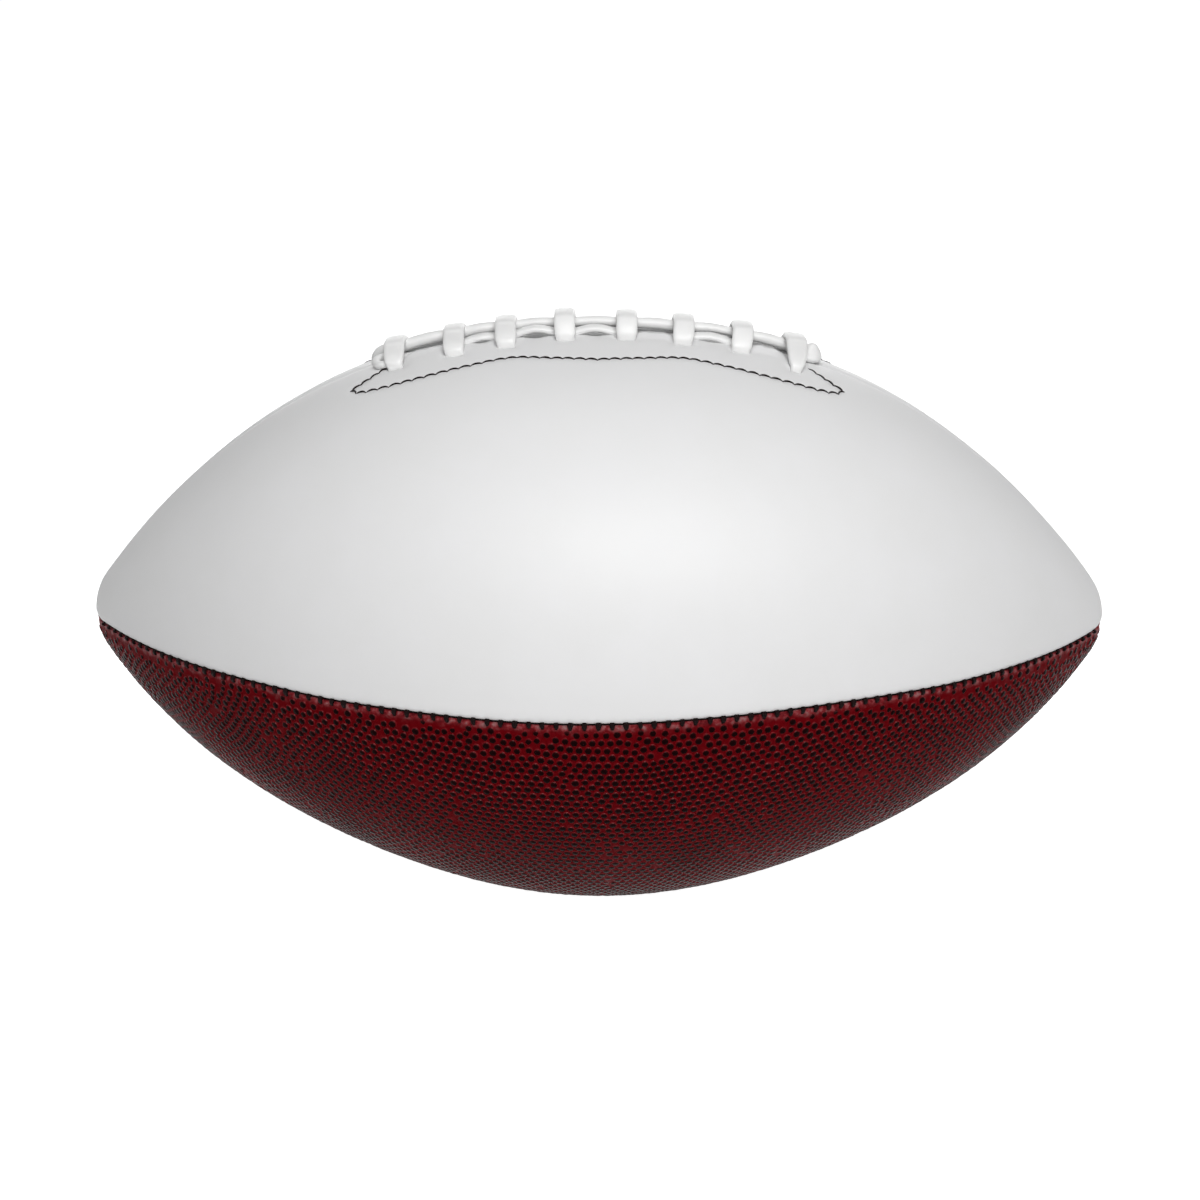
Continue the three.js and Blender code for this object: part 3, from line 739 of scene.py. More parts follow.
def pebbledMaterial():
    look = pebbledLook
    material, nodes, links, shader = materialNodes("pebbled_leather")
    coordinates = nodes.new("ShaderNodeTexCoord").outputs["Object"]
    offset = addNode(nodes, "ShaderNodeUVMap", {"uv_map": "pebble"})
    sides = nodes.new("ShaderNodeSeparateXYZ")
    # painted highlight: the upper side of each pebble gets more shine than the lower side
    paintedUpperShine = addRamp(nodes, look["paintedUpperShine"])
    shineWithPaintedUpper = addNode(nodes, "ShaderNodeMath", {"operation": "MULTIPLY_ADD"})
    shineWithPaintedUpper.inputs[2].default_value = look["leastShine"]
    lip = addNode(nodes, "ShaderNodeAttribute", {"attribute_name": "lip"})
    away = addNode(nodes, "ShaderNodeVectorMath", {"operation": "LENGTH"})
    colour = addRamp(nodes, look["colour"])
    gloss = addRamp(nodes, look["roughness"])
    shine = addRamp(nodes, look["shine"])
    dome = addRamp(nodes, look["dome"])
    dome.color_ramp.interpolation = "EASE"
    tint = addNode(nodes, "ShaderNodeMix", {"data_type": "RGBA"})
    # noise for the seam band: red patches, and pale spots that are painted highlights
    patches = addNode(nodes, "ShaderNodeTexNoise", Scale=look["bandGlintSpots"], Detail=3.0)
    band = addRamp(nodes, look["band"])
    lipShine = addNode(nodes, "ShaderNodeMath", {"operation": "MULTIPLY_ADD"})
    lipShine.inputs[1].default_value = look["bandShine"]
    links.new(coordinates, patches.inputs["Vector"])
    links.new(patches.outputs["Fac"], band.inputs["Fac"])
    links.new(band.outputs["Color"], tint.inputs["B"])
    links.new(offset.outputs["UV"], away.inputs[0])
    links.new(offset.outputs["UV"], sides.inputs["Vector"])
    links.new(sides.outputs["Y"], paintedUpperShine.inputs["Fac"])
    links.new(paintedUpperShine.outputs["Color"], shineWithPaintedUpper.inputs[0])
    links.new(shine.outputs["Color"], shineWithPaintedUpper.inputs[1])
    for ramp in (colour, gloss, shine, dome):
        links.new(away.outputs["Value"], ramp.inputs["Fac"])
    links.new(lip.outputs["Fac"], tint.inputs["Factor"])
    links.new(colour.outputs["Color"], tint.inputs["A"])
    links.new(tint.outputs["Result"], shader.inputs["Base Color"])
    links.new(lip.outputs["Fac"], lipShine.inputs[0])
    links.new(shineWithPaintedUpper.outputs["Value"], lipShine.inputs[2])
    links.new(lipShine.outputs["Value"], shader.inputs["Specular IOR Level"])
    links.new(gloss.outputs["Color"], shader.inputs["Roughness"])
    shader.inputs["Specular Tint"].default_value = look["shineTint"]
    grainBump(nodes, links, shader, coordinates, look["grain"])
    creases(nodes, links, shader, coordinates, lip.outputs["Fac"])
    addBump(nodes, links, shader, dome.outputs["Color"], look["domeHeight"])
    return material


pebbledLeather = pebbledMaterial()


clothLook = {
    "threads": 260.0,
    "waver": 0.6,
    "colour": [(0.0, (0.42, 0.39, 0.33)), (1.0, (0.62, 0.58, 0.5))],
    "bump": (0.5, 0.0003),
    "roughness": 0.95,
}


def clothMaterial():
    material, nodes, links, shader = materialNodes("lining_cloth")
    coordinates = nodes.new("ShaderNodeTexCoord").outputs["Object"]
    weave = addNode(nodes, "ShaderNodeMath", {"operation": "MULTIPLY"})
    for i, direction in enumerate("XZ"):
        wave = addNode(nodes, "ShaderNodeTexWave", {"bands_direction": direction},
                       Scale=clothLook["threads"], Distortion=clothLook["waver"])
        links.new(coordinates, wave.inputs["Vector"])
        links.new(wave.outputs["Fac"], weave.inputs[i])
    tint = addRamp(nodes, clothLook["colour"])
    strength, distance = clothLook["bump"]
    bump = addNode(nodes, "ShaderNodeBump", Strength=strength, Distance=distance)
    links.new(weave.outputs["Value"], tint.inputs["Fac"])
    links.new(tint.outputs["Color"], shader.inputs["Base Color"])
    links.new(weave.outputs["Value"], bump.inputs["Height"])
    links.new(bump.outputs["Normal"], shader.inputs["Normal"])
    shader.inputs["Roughness"].default_value = clothLook["roughness"]
    return material


liningCloth = clothMaterial()
print("materials ready")


# Stage: a wide pale floor, one large key light in front, and soft fill in front and behind
stage = {
    "floorSize": 6.0,
    "floorColour": (0.9, 0.9, 0.9),
    "floorGlow": 1.0,  # seen by the camera and in reflections only
    "cameraDistance": 0.6,
    "elevation": 20.08,
    "roll": 0.415,
    "sensor": 36,
    "lens": 62.19,
    "shift": (0.0006, 0.0085),
    "world": 0.03,
    "lampTarget": (0, 0, 0.09),
}


def whereSeen(nodes, links):
    # 1 for what the camera sees, also in a reflection or through something clear, and 0 for other light
    ray = nodes.new("ShaderNodeLightPath")
    seen = ray.outputs["Is Camera Ray"]
    for kind in ("Is Glossy Ray", "Is Transmission Ray"):
        either = addNode(nodes, "ShaderNodeMath", {"operation": "MAXIMUM"})
        links.new(seen, either.inputs[0])
        links.new(ray.outputs[kind], either.inputs[1])
        seen = either.outputs["Value"]
    return seen


def makeStage():
    bm = bmesh.new()
    bmesh.ops.create_grid(bm, x_segments=4, y_segments=4, size=stage["floorSize"])
    mesh = bpy.data.meshes.new("floor")
    bm.to_mesh(mesh)
    bm.free()
    floor = bpy.data.objects.new("floor", mesh)
    scene.collection.objects.link(floor)
    material, nodes, links, shader = materialNodes("floor")
    nodes.remove(shader)
    diffuse = addNode(nodes, "ShaderNodeBsdfDiffuse", Color=(*stage["floorColour"], 1))
    glow = addNode(nodes, "ShaderNodeEmission", Color=(1, 1, 1, 1))
    level = addNode(nodes, "ShaderNodeMath", {"operation": "MULTIPLY"})
    level.inputs[1].default_value = stage["floorGlow"]
    both = nodes.new("ShaderNodeAddShader")
    links.new(whereSeen(nodes, links), level.inputs[0])
    links.new(level.outputs["Value"], glow.inputs["Strength"])
    links.new(diffuse.outputs["BSDF"], both.inputs[0])
    links.new(glow.outputs["Emission"], both.inputs[1])
    links.new(both.outputs["Shader"], nodes["Material Output"].inputs["Surface"])
    mesh.materials.append(material)


def makeWorld():
    world = bpy.data.worlds.new("studio")
    scene.world = world
    world.use_nodes = True
    nodes, links = world.node_tree.nodes, world.node_tree.links
    light = nodes["Background"]
    light.inputs["Color"].default_value = (1, 1, 1, 1)
    light.inputs["Strength"].default_value = stage["world"]
    white = addNode(nodes, "ShaderNodeBackground", Color=(1, 1, 1, 1), Strength=1.0)
    blend = nodes.new("ShaderNodeMixShader")
    links.new(whereSeen(nodes, links), blend.inputs["Fac"])
    links.new(light.outputs["Background"], blend.inputs[1])
    links.new(white.outputs["Background"], blend.inputs[2])
    links.new(blend.outputs["Shader"], nodes["World Output"].inputs["Surface"])


def aim(place, target):
    return (Vector(target) - Vector(place)).to_track_quat("-Z", "Y").to_matrix().to_4x4()


def makeCamera():
    data = bpy.data.cameras.new("camera")
    data.sensor_width = stage["sensor"]
    data.lens = stage["lens"]
    data.shift_x, data.shift_y = stage["shift"]
    camera = bpy.data.objects.new("camera", data)
    scene.collection.objects.link(camera)
    rise = math.radians(stage["elevation"])
    middle = Vector((0, 0, ball["axisHeight"] / perMetre))
    place = middle + Vector((0, -math.cos(rise), math.sin(rise))) * stage["cameraDistance"]
    roll = Matrix.Rotation(math.radians(stage["roll"]), 4, "Z")
    camera.matrix_world = Matrix.Translation(place) @ aim(place, middle) @ roll
    scene.camera = camera


lamps = {
    "main": {"place": (0.1, -0.9, 1.0), "size": 0.7, "power": 10.4},
    "key": {"place": (0.45, -0.8, 0.8), "size": 0.5, "power": 1.43},
    "top": {"place": (0, 0, 1.1), "size": 0.5, "power": 1.06},
    "front": {"place": (0, -1.0, 0.12), "size": 0.8, "power": 1.0},
    "back": {"place": (0, 1.0, 0.12), "size": 0.8, "power": 3.0},
}


def makeLamps():
    for name, lamp in lamps.items():
        data = bpy.data.lights.new(name, "AREA")
        data.size = lamp["size"]
        data.energy = lamp["power"]
        light = bpy.data.objects.new(name, data)
        scene.collection.objects.link(light)
        light.matrix_world = Matrix.Translation(lamp["place"]) @ aim(lamp["place"], stage["lampTarget"])


makeCamera()
makeStage()
makeWorld()
makeLamps()
scene.view_settings.view_transform = "Standard"
print("stage ready")


# White panels
def makeWhitePanel(place):
    side = 1 if place.startswith("front") else -1
    size = whitePanel
    holes = laceHoles(side, 0)
    panel = {"centre": panelCentres[place], "laceSide": side, "holes": holes}
    pulls = []
    for line in facingLines(side):
        flat = [(runAt(x), side * (halfWidth(runAt(x)) - abs(t)), 0) for x, t, _ in line]
        pulls += spacedAlong(flat, size["pullStep"])
    tree = kdtree.KDTree(len(pulls))
    for i, (at, _) in enumerate(pulls):
        tree.insert(at, i)
    tree.balance()

    def surface(run, across):
        height = 0
        if side * across > 0 and abs(run) < size["dressedRun"]:
            t = halfWidth(run) - abs(across)
            padding = size["padding"] * smooth(t, *size["paddingRise"])
            padding *= 1 - smooth(t, *size["paddingFall"])
            height += padding * (1 - smooth(abs(run), *size["paddingEnd"]))
            if side > 0:
                height += gapRiseAt(profile(run)[0]) * (1 - smooth(t, *size["gapRiseFall"]))
            for h in holes:
                gap = fromHole(h, run, across)
                if gap < size["dimpleEnd"]:
                    height -= size["dimple"] * math.exp(-(max(gap, 0) / size["dimpleReach"]) ** 2)
            _, i, gap = tree.find((run, across, 0))
            if gap < size["pullEnd"]:
                even, more = size["pullShares"]
                stitch = even + more * math.cos(2 * math.pi * i * size["pullStep"] / facingLine["pitch"])
                height -= size["stitchPull"] * stitch * math.exp(-(gap / size["pullReach"]) ** 2)
        waveHeight, waveLength = size["waves"]
        at = Vector((run, across, side * size["wavesApart"]))
        return height + waveHeight * noise.noise(at / waveLength)

    bm, layers = panelShell(panel, size, 0, None, lambda bm, net: net)
    beautifyOnBall(bm, layers, panel["centre"])
    for v in bm.verts:
        v.co.z = surface(v.co.x, v.co.y)

    def lipHeight(ring):
        inset, depth = ring
        pull = size["lipPull"] if inset > 0 else 0
        return lambda run, share: -depth - pull * seamStitchAt(run)

    closeShell(bm, layers, panel, size, lipHeight, surface)
    wrapOnBall(bm, panel["centre"])
    dropLayers(bm, layers, ())
    finishPiece(bm, "leather_" + place, whiteLeather, "panel_" + place)


for place in ("front_upper", "rear_upper"):
    makeWhitePanel(place)
print("white panels ready")


# Pebbled panels
def pushApart(net):
    # moves the inner knots of a flat net away from near neighbours, to even out the spacing
    reach = pebbledPanel["reach"]
    tree = kdtree.KDTree(len(net))
    for i, v in enumerate(net):
        tree.insert(v.co, i)
    tree.balance()
    pushes = []
    for i, v in enumerate(net):
        push = Vector()
        for at, k, gap in tree.find_range(v.co, reach):
            if k != i:
                push += (v.co - at) * (reach / gap - 1)
        pushes.append(push)
    for v, push in zip(net, pushes):
        if not v.is_boundary:
            v.co += push * pebbledPanel["push"]


def makePebbledPanel(place):
    size = pebbledPanel
    seed = size["seeds"][place]
    holes = []
    if place == "rear_lower":
        holes.append({"at": (0, 0), "size": (size["valveHole"], size["valveHole"]), "bend": 1})
    panel = {"centre": panelCentres[place], "laceSide": 0, "holes": holes}
    pick = random.Random(seed)

    def stray(at):
        turn, reach = pick.uniform(0, 2 * math.pi), size["net"] * size["jitter"] * math.sqrt(pick.random())
        most, length = size["wander"]
        sway = noise.noise_vector(Vector((at.x, at.y, seed * size["wanderApart"])) / length) * most
        return Vector((sway.x + reach * math.cos(turn), sway.y + reach * math.sin(turn), 0))

    def loosen(bm, net):
        # leave out some knots and let the others settle, so that the rows break up
        dropped = []
        for v in net:
            if v.is_boundary or pick.random() > size["dropped"]:
                continue
            if not any(e.other_vert(v) in dropped for e in v.link_edges):
                dropped.append(v)
        bmesh.ops.dissolve_verts(bm, verts=dropped)
        bmesh.ops.triangulate(bm, faces=[f for f in bm.faces if len(f.verts) > 3])
        net = [v for v in net if v.is_valid]
        firstRow = {}
        fromSeam, fromTip = size["firstRowFrom"]
        (least, most), rowStray = size["firstRow"], size["firstRowStray"]
        for across in (1, -1):
            row = [v for v in net if v.is_valid and v.is_boundary and v.co.y * across > 0
                   and abs(v.co.x) < panelEnd(0) - fromTip and insetAt(panel, *v.co.xy) < fromSeam]
            row.sort(key=lambda v: v.co.x)
            kept = row[:1]
            for v in row[1:]:
                last = kept[-1]
                joined = any(e.other_vert(v) == last for e in v.link_edges)
                if v.co.x - last.co.x < size["crowded"] and joined:
                    bmesh.ops.pointmerge(bm, verts=[last, v], merge_co=mix(last.co, v.co, 0.5))
                    kept[-1] = last if last.is_valid else v
                else:
                    kept.append(v)
            firstRow[across] = []
            for v in kept:
                inset = min(max(insetAt(panel, *v.co.xy), least), most)
                firstRow[across].append((v, inset + pick.uniform(-rowStray, rowStray)))
        net = [v for v in net if v.is_valid]
        beside = [v for v in net if insetAt(panel, *v.co.xy) < size["settleBeside"]]
        for turn in range(size["settle"]):
            for across, row in firstRow.items():
                for (before, _), (v, inset), (after, _) in zip(row, row[1:], row[2:]):
                    v.co.x = mix(v.co.x, (before.co.x + after.co.x) / 2, 0.5)
                    v.co.y = across * (halfWidth(v.co.x) - inset)
            pushApart(net if turn < size["settle"] / 2 else beside)
            if turn % size["evenOut"] == size["evenOut"] - 1:
                edges = [e for e in bm.edges if len(e.link_faces) == 2]
                bmesh.ops.beautify_fill(bm, faces=bm.faces, edges=edges, method="ANGLE")
        return net

    def surface(run, across):
        near = insetAt(panel, run, across)
        pucker = size["pucker"] * seamStitchAt(run) * math.exp(-((near / size["puckerReach"]) ** 2))
        height = -size["base"] - pucker
        depth, reach = size["valveDent"]
        for h in holes:
            height -= depth * math.exp(-(max(fromHole(h, run, across), 0) / reach) ** 2)
        return height

    bm, layers = panelShell(panel, size, 1, stray, loosen)
    beautifyOnBall(bm, layers, panel["centre"])
    kind = layers["kind"]
    edges = [e for e in bm.edges if e.verts[0][kind] > 0.5 or e.verts[1][kind] > 0.5]
    for v in vertsOf(bmesh.ops.subdivide_edges(bm, edges=edges, cuts=1, use_grid_fill=True)["geom_inner"]):
        v[kind] = 0
        ends = [e.other_vert(v) for e in v.link_edges]
        rim = [w for w in ends if w[layers["loop"]] == 1]
        if rim:
            nearest = min(rim, key=lambda w: (w.co - v.co).length)
            v.co = mix(v.co, nearest.co, size["rimPull"])
    spokes = [e for e in bm.edges if e.verts[0][kind] > 0.5 or e.verts[1][kind] > 0.5]
    bmesh.ops.subdivide_edges(bm, edges=spokes, cuts=1)
    for v in bm.verts:
        v.co.z = surface(v.co.x, v.co.y)
        v[layers["flat"]] = v.co
        v[layers["lip"]] = 1 - smooth(insetAt(panel, *v.co.xy), *size["lipReach"])

    def lipHeight(ring):
        _, depth, dent = ring
        return lambda run, share: -depth - dent * seamStitchAt(run)

    closeShell(bm, layers, panel, size, lipHeight, surface)
    wrapOnBall(bm, panel["centre"])
    raisePebbles(bm, layers, panel, pick)
    dropLayers(bm, layers, ("lip",))
    finishPiece(bm, "leather_" + place, pebbledLeather, "panel_" + place)


def raisePebbles(bm, layers, panel, pick):
    # lifts each pebble off the net, and keeps in the UV map how far a place is from its pebble's middle:
    # the length is 0 there and 0.5 at the edge, and the second value is above 0 towards the white panel
    size, kind = pebbledPanel, layers["kind"]
    offset = bm.loops.layers.uv.new("pebble")
    upwards = -1 if panel["centre"] < math.pi else 1
    for f in bm.faces:
        for corner in f.loops:
            corner[offset].uv = (1, 0)
    for v in [v for v in bm.verts if v[kind] > 0.9]:
        run, across, _ = v[layers["flat"]]
        along, towardsFront, out = ballDirections(run, panel["centre"] - across / ringRadius(run))
        middle = v.co.copy()
        shoulders = [e.other_vert(v) for e in v.link_edges]
        own = {v, *shoulders}
        rim = [e.verts for w in own for f in w.link_faces for e in f.edges if not own & set(e.verts)]
        room = min((intersect_point_line(middle, *(w.co for w in ends))[0] - middle).length for ends in rim)
        grow = min(pick.uniform(*size["radiusRange"]), room / size["pebbleRadius"])
        if grow < size["leastRadius"]:
            continue
        radius = size["pebbleRadius"] * grow
        full = smooth(insetAt(panel, run, across), *size["fullHeight"])
        rise = size["pebbleHeight"] * pick.uniform(*size["heightRange"]) * mix(size["seamHeight"], 1, full)
        faces = set()
        for shoulder in shoulders:
            step = (shoulder.co - middle).normalized() * radius
            shoulder.co = middle + step + out * (rise * size["shoulderRise"])
            faces.update(shoulder.link_faces)
        v.co = middle + out * rise
        for f in faces:
            for corner in f.loops:
                step = (corner.vert.co - middle) / (radius * 2)
                corner[offset].uv = (step.dot(along), step.dot(towardsFront) * upwards)


noise.seed_set(pebbledPanel["wanderSeed"])
for place in pebbledPanel["seeds"]:
    makePebbledPanel(place)
print("pebbled panels ready")


# Threads: short bent stitches, and the line of thread that shows down in the seam
def tube(bm, layers, sides, rings):
    # closed tube; each ring is a function from the share of the way round to a point
    edges = wireLoop(bm, layers, sides, 0, rings[0])
    bmesh.ops.edgeloop_fill(bm, edges=edges)
    for ring in rings[1:]:
        edges = extrudeLoop(bm, layers, edges, ring)
    bmesh.ops.edgeloop_fill(bm, edges=edges)


def loopLayers(bm):
    return {"share": bm.verts.layers.float.new("share"), "loop": bm.verts.layers.int.new("loop")}


def roundRing(centre, wide, thin, square=1.0):
    # ring of a cord: half axes as vectors, and 1 for an ellipse or less for a squarer section
    def place(share):
        c, s = math.cos(2 * math.pi * share), math.sin(2 * math.pi * share)
        across, up = math.copysign(abs(c) ** square, c), math.copysign(abs(s) ** square, s)
        return centre + wide * across + thin * up
    return place


def bentStitch(name, path, sides):
    # a stitch that runs along y; a ring of its path is y, z, width, thickness and x
    bm = bmesh.new()
    layers = loopLayers(bm)
    rings = []
    for i, (y, z, width, thickness, x) in enumerate(path):
        before, after = path[max(i - 1, 0)], path[min(i + 1, len(path) - 1)]
        ahead = Vector((0, after[0] - before[0], after[1] - before[1])).normalized()
        wide = Vector((1, 0, 0))
        rings.append(roundRing(Vector((x, y, z)), wide * (width / 2), ahead.cross(wide) * (-thickness / 2)))
    tube(bm, layers, sides, rings)
    mesh = bpy.data.meshes.new(name)
    dropLayers(bm, layers, ())
    bm.to_mesh(mesh)
    bm.free()
    return mesh


def setStitches(bm, stitch, places):
    for place in places:
        copy = stitch.copy()
        copy.transform(place)
        bm.from_mesh(copy)
        bpy.data.meshes.remove(copy)


def placeMatrix(origin, x, y, z):
    return Matrix((
        (x.x, y.x, z.x, origin.x), (x.y, y.y, z.y, origin.y), (x.z, y.z, z.z, origin.z), (0, 0, 0, 1)))


seamThreads = {
    "angles": {"front": 2 * quarter, "bottom": 4 * quarter, "rear": 6 * quarter},
    "seed": 21,
    "lastRun": 166,
    "laceStart": 4.2,  # past the last strap
    "lineDepth": 1.0,
    "lineWidth": 0.5,
    "lineSteps": 160,
    "lineSides": 6,
    "stitchSides": 7,
    "stray": 0.12,
    "lean": 0.12,
    "sizeRange": (0.88, 1.08),
    "widthRange": (0.9, 1.06),
    "tipSize": 0.5,  # stitches get smaller over this last run towards the tips
    "tipRun": 50,
    # stitches: towards the pebbled side, above the surface, width, thickness, sideways
    "overLip": [(-0.55, -1.3, 0.6, 0.5, 0.2), (-0.48, -0.4, 0.85, 0.75, 0.26),
                (-0.18, 0.0, 0.95, 0.85, 0.28), (0.3, 0.08, 0.92, 0.85, 0.22),
                (0.75, -0.05, 0.8, 0.8, 0.14), (1.15, -0.35, 0.65, 0.65, 0.1),
                (1.35, -1.1, 0.5, 0.5, 0.08)],
    "underBelly": [(-1.5, -1.6, 0.5, 0.5, 0), (-1.3, -0.9, 1.0, 0.7, 0), (-0.6, -0.5, 1.45, 0.9, 0),
                   (0, -0.42, 1.5, 0.95, 0), (0.6, -0.5, 1.45, 0.9, 0), (1.3, -0.9, 1.0, 0.7, 0),
                   (1.5, -1.6, 0.5, 0.5, 0)],
    "sunk": [(-0.45, -2.3, 0.5, 0.4, 0), (-0.25, -1.85, 0.75, 0.6, 0), (0, -1.7, 0.85, 0.65, 0),
             (0.25, -1.85, 0.75, 0.6, 0), (0.45, -2.3, 0.5, 0.4, 0)],
}


def makeSeamThread(seam, angle, runs, path, turnRound, pick):
    bm = bmesh.new()
    layers = loopLayers(bm)
    rings = []
    steps, half = seamThreads["lineSteps"], seamThreads["lineWidth"] / 2
    for i in range(steps + 1):
        run = mix(runs[0], runs[1], i / steps)
        _, towardsFront, out = ballDirections(run, angle)
        centre = ballPoint(run, angle, -seamThreads["lineDepth"])
        rings.append(roundRing(centre, towardsFront * half, out * half))
    tube(bm, layers, seamThreads["lineSides"], rings)
    dropLayers(bm, layers, ())
    stitch = bentStitch("stitch_" + seam, path, seamThreads["stitchSides"])
    stray, mostLean, lastRun = seamThreads["stray"], seamThreads["lean"], seamThreads["lastRun"]
    places = []
    for k in range(math.ceil(runs[0] / seamPitch), math.floor(runs[1] / seamPitch) + 1):
        run = k * seamPitch + pick.uniform(-stray, stray)
        _, towardsFront, out = ballDirections(run, angle)
        lean = Matrix.Rotation(pick.uniform(-mostLean, mostLean), 4, "Z")
        full = mix(seamThreads["tipSize"], 1, smooth(lastRun - abs(run), 0, seamThreads["tipRun"]))
        size = pick.uniform(*seamThreads["sizeRange"]) * full
        scale = Matrix.Diagonal((size * pick.uniform(*seamThreads["widthRange"]), size, 1, 1))
        across = towardsFront * turnRound
        places.append(placeMatrix(ballPoint(run, angle, 0), across.cross(out), across, out) @ lean @ scale)
    paired = path[0][4] != 0  # a stitch that stands sideways has a second one beside it
    for hand in (1, -1) if paired else (1,):
        setStitches(bm, stitch, [place @ Matrix.Diagonal((hand, 1, 1, 1)) for place in places])
    bpy.data.meshes.remove(stitch)
    finishPiece(bm, "stitches_" + seam, blackThread, "seam_thread_" + seam)


pick = random.Random(seamThreads["seed"])
endRun = seamThreads["lastRun"]
for seam, angle in seamThreads["angles"].items():
    path = seamThreads["underBelly" if seam == "bottom" else "overLip"]
    makeSeamThread(seam, angle, (-endRun, endRun), path, -1 if seam == "rear" else 1, pick)
slitRun = runAt(lastStrap + seamThreads["laceStart"])
makeSeamThread("lace_left", 0, (-endRun, -slitRun), seamThreads["sunk"], 1, pick)
makeSeamThread("lace_right", 0, (slitRun, endRun), seamThreads["sunk"], 1, pick)
print("seam threads ready")


def makeFacingStitches(half, side):
    stitch = bentStitch("stitch_facing", facingLine["stitch"], facingLine["stitchSides"])
    shift, mostLean = panelShift(panelCentres[half + "_upper"]), facingLine["stitchLean"]
    places = []
    for number, line in enumerate(facingLines(side)):
        bow = Matrix.Diagonal((side if number else -side, 1, 1, 1))
        for at, direction in spacedAlong(line, facingLine["pitch"]):
            along, towardsFront, out = laceDirections(at.x, at.y)
            ahead = (along * direction.x + towardsFront * direction.y).normalized()
            lean = Matrix.Rotation(pick.uniform(-mostLean, mostLean), 4, "Z")
            origin = lacePoint(at.x, at.y, 0) + shift
            places.append(placeMatrix(origin, ahead.cross(out), ahead, out) @ lean @ bow)
    bm = bmesh.new()
    setStitches(bm, stitch, places)
    bpy.data.meshes.remove(stitch)
    finishPiece(bm, "stitches_facing_" + half, blackThread, "facing_stitch_" + half)


makeFacingStitches("front", 1)
makeFacingStitches("rear", -1)
print("facing stitches ready")


# Lace: one cord on a given route. A station is x, t, h, the wide direction (along, towards the
# front, out), width, thickness and squareness.
laceShape = {
    "flat": (5.8, 2.1, 0.6),
    "pinched": (5.1, 2.2, 0.65),
    "farWidth": 4.2,
    "farThickness": [3.4, 3.2, 2.8, 2.8, 3.2, 2.7, 3.2],  # of the far strand between two straps
    "farTop": 3.7,
    "nearStrand": (4.2, 2.0, 0.8),
    "loop": (5.4, 2.7, 0.85),
    "curl": (2.5, 2.2, 0.95),
    "nearHeight": [0.0, 0.0, 0.5, 0.4, 0.0, 0.2, 0.0, -0.4],  # of the near strand under each strap
    "strapHeight": [4.25, 4.0, 4.35, 5.25, 4.95, 4.8, 5.05, 5.0],
    "farSpread": -2.4,
    "nearSpread": 2.7,
    "nearMiddle": [-0.6, 1.2, 2.1, 1.8, -0.6, 1.5, -0.9],  # and between two straps
    "farArch": 0.4,
    "strapTop": 2.9,  # half of a strap's flat top
    "strapEdge": (5.0, 0.8),  # where the top bends down: distance from the lace seam, and below the top
    "strapBend": (5.2, 0.75, 1.9),  # from here this share of the way to the hole, and the height there
    "level": 0.6,  # the straps' tops are nearer to level than the ball below them
    "loopStart": 2.5,  # past the last strap
    "loopEnd": 58.3,
    "loopRise": 1.5,
    "loopUpright": (0, 0.3, 0.5, 0.3, 0),  # how far it stands on its edge, from far strand to near
    "lastTurn": 8,  # past the last strap, below the leather
    "runDepth": 7.6,
    "holeFoot": 5.6,
    "tail": 15,
    "sides": 22,
    "steps": 5,
}


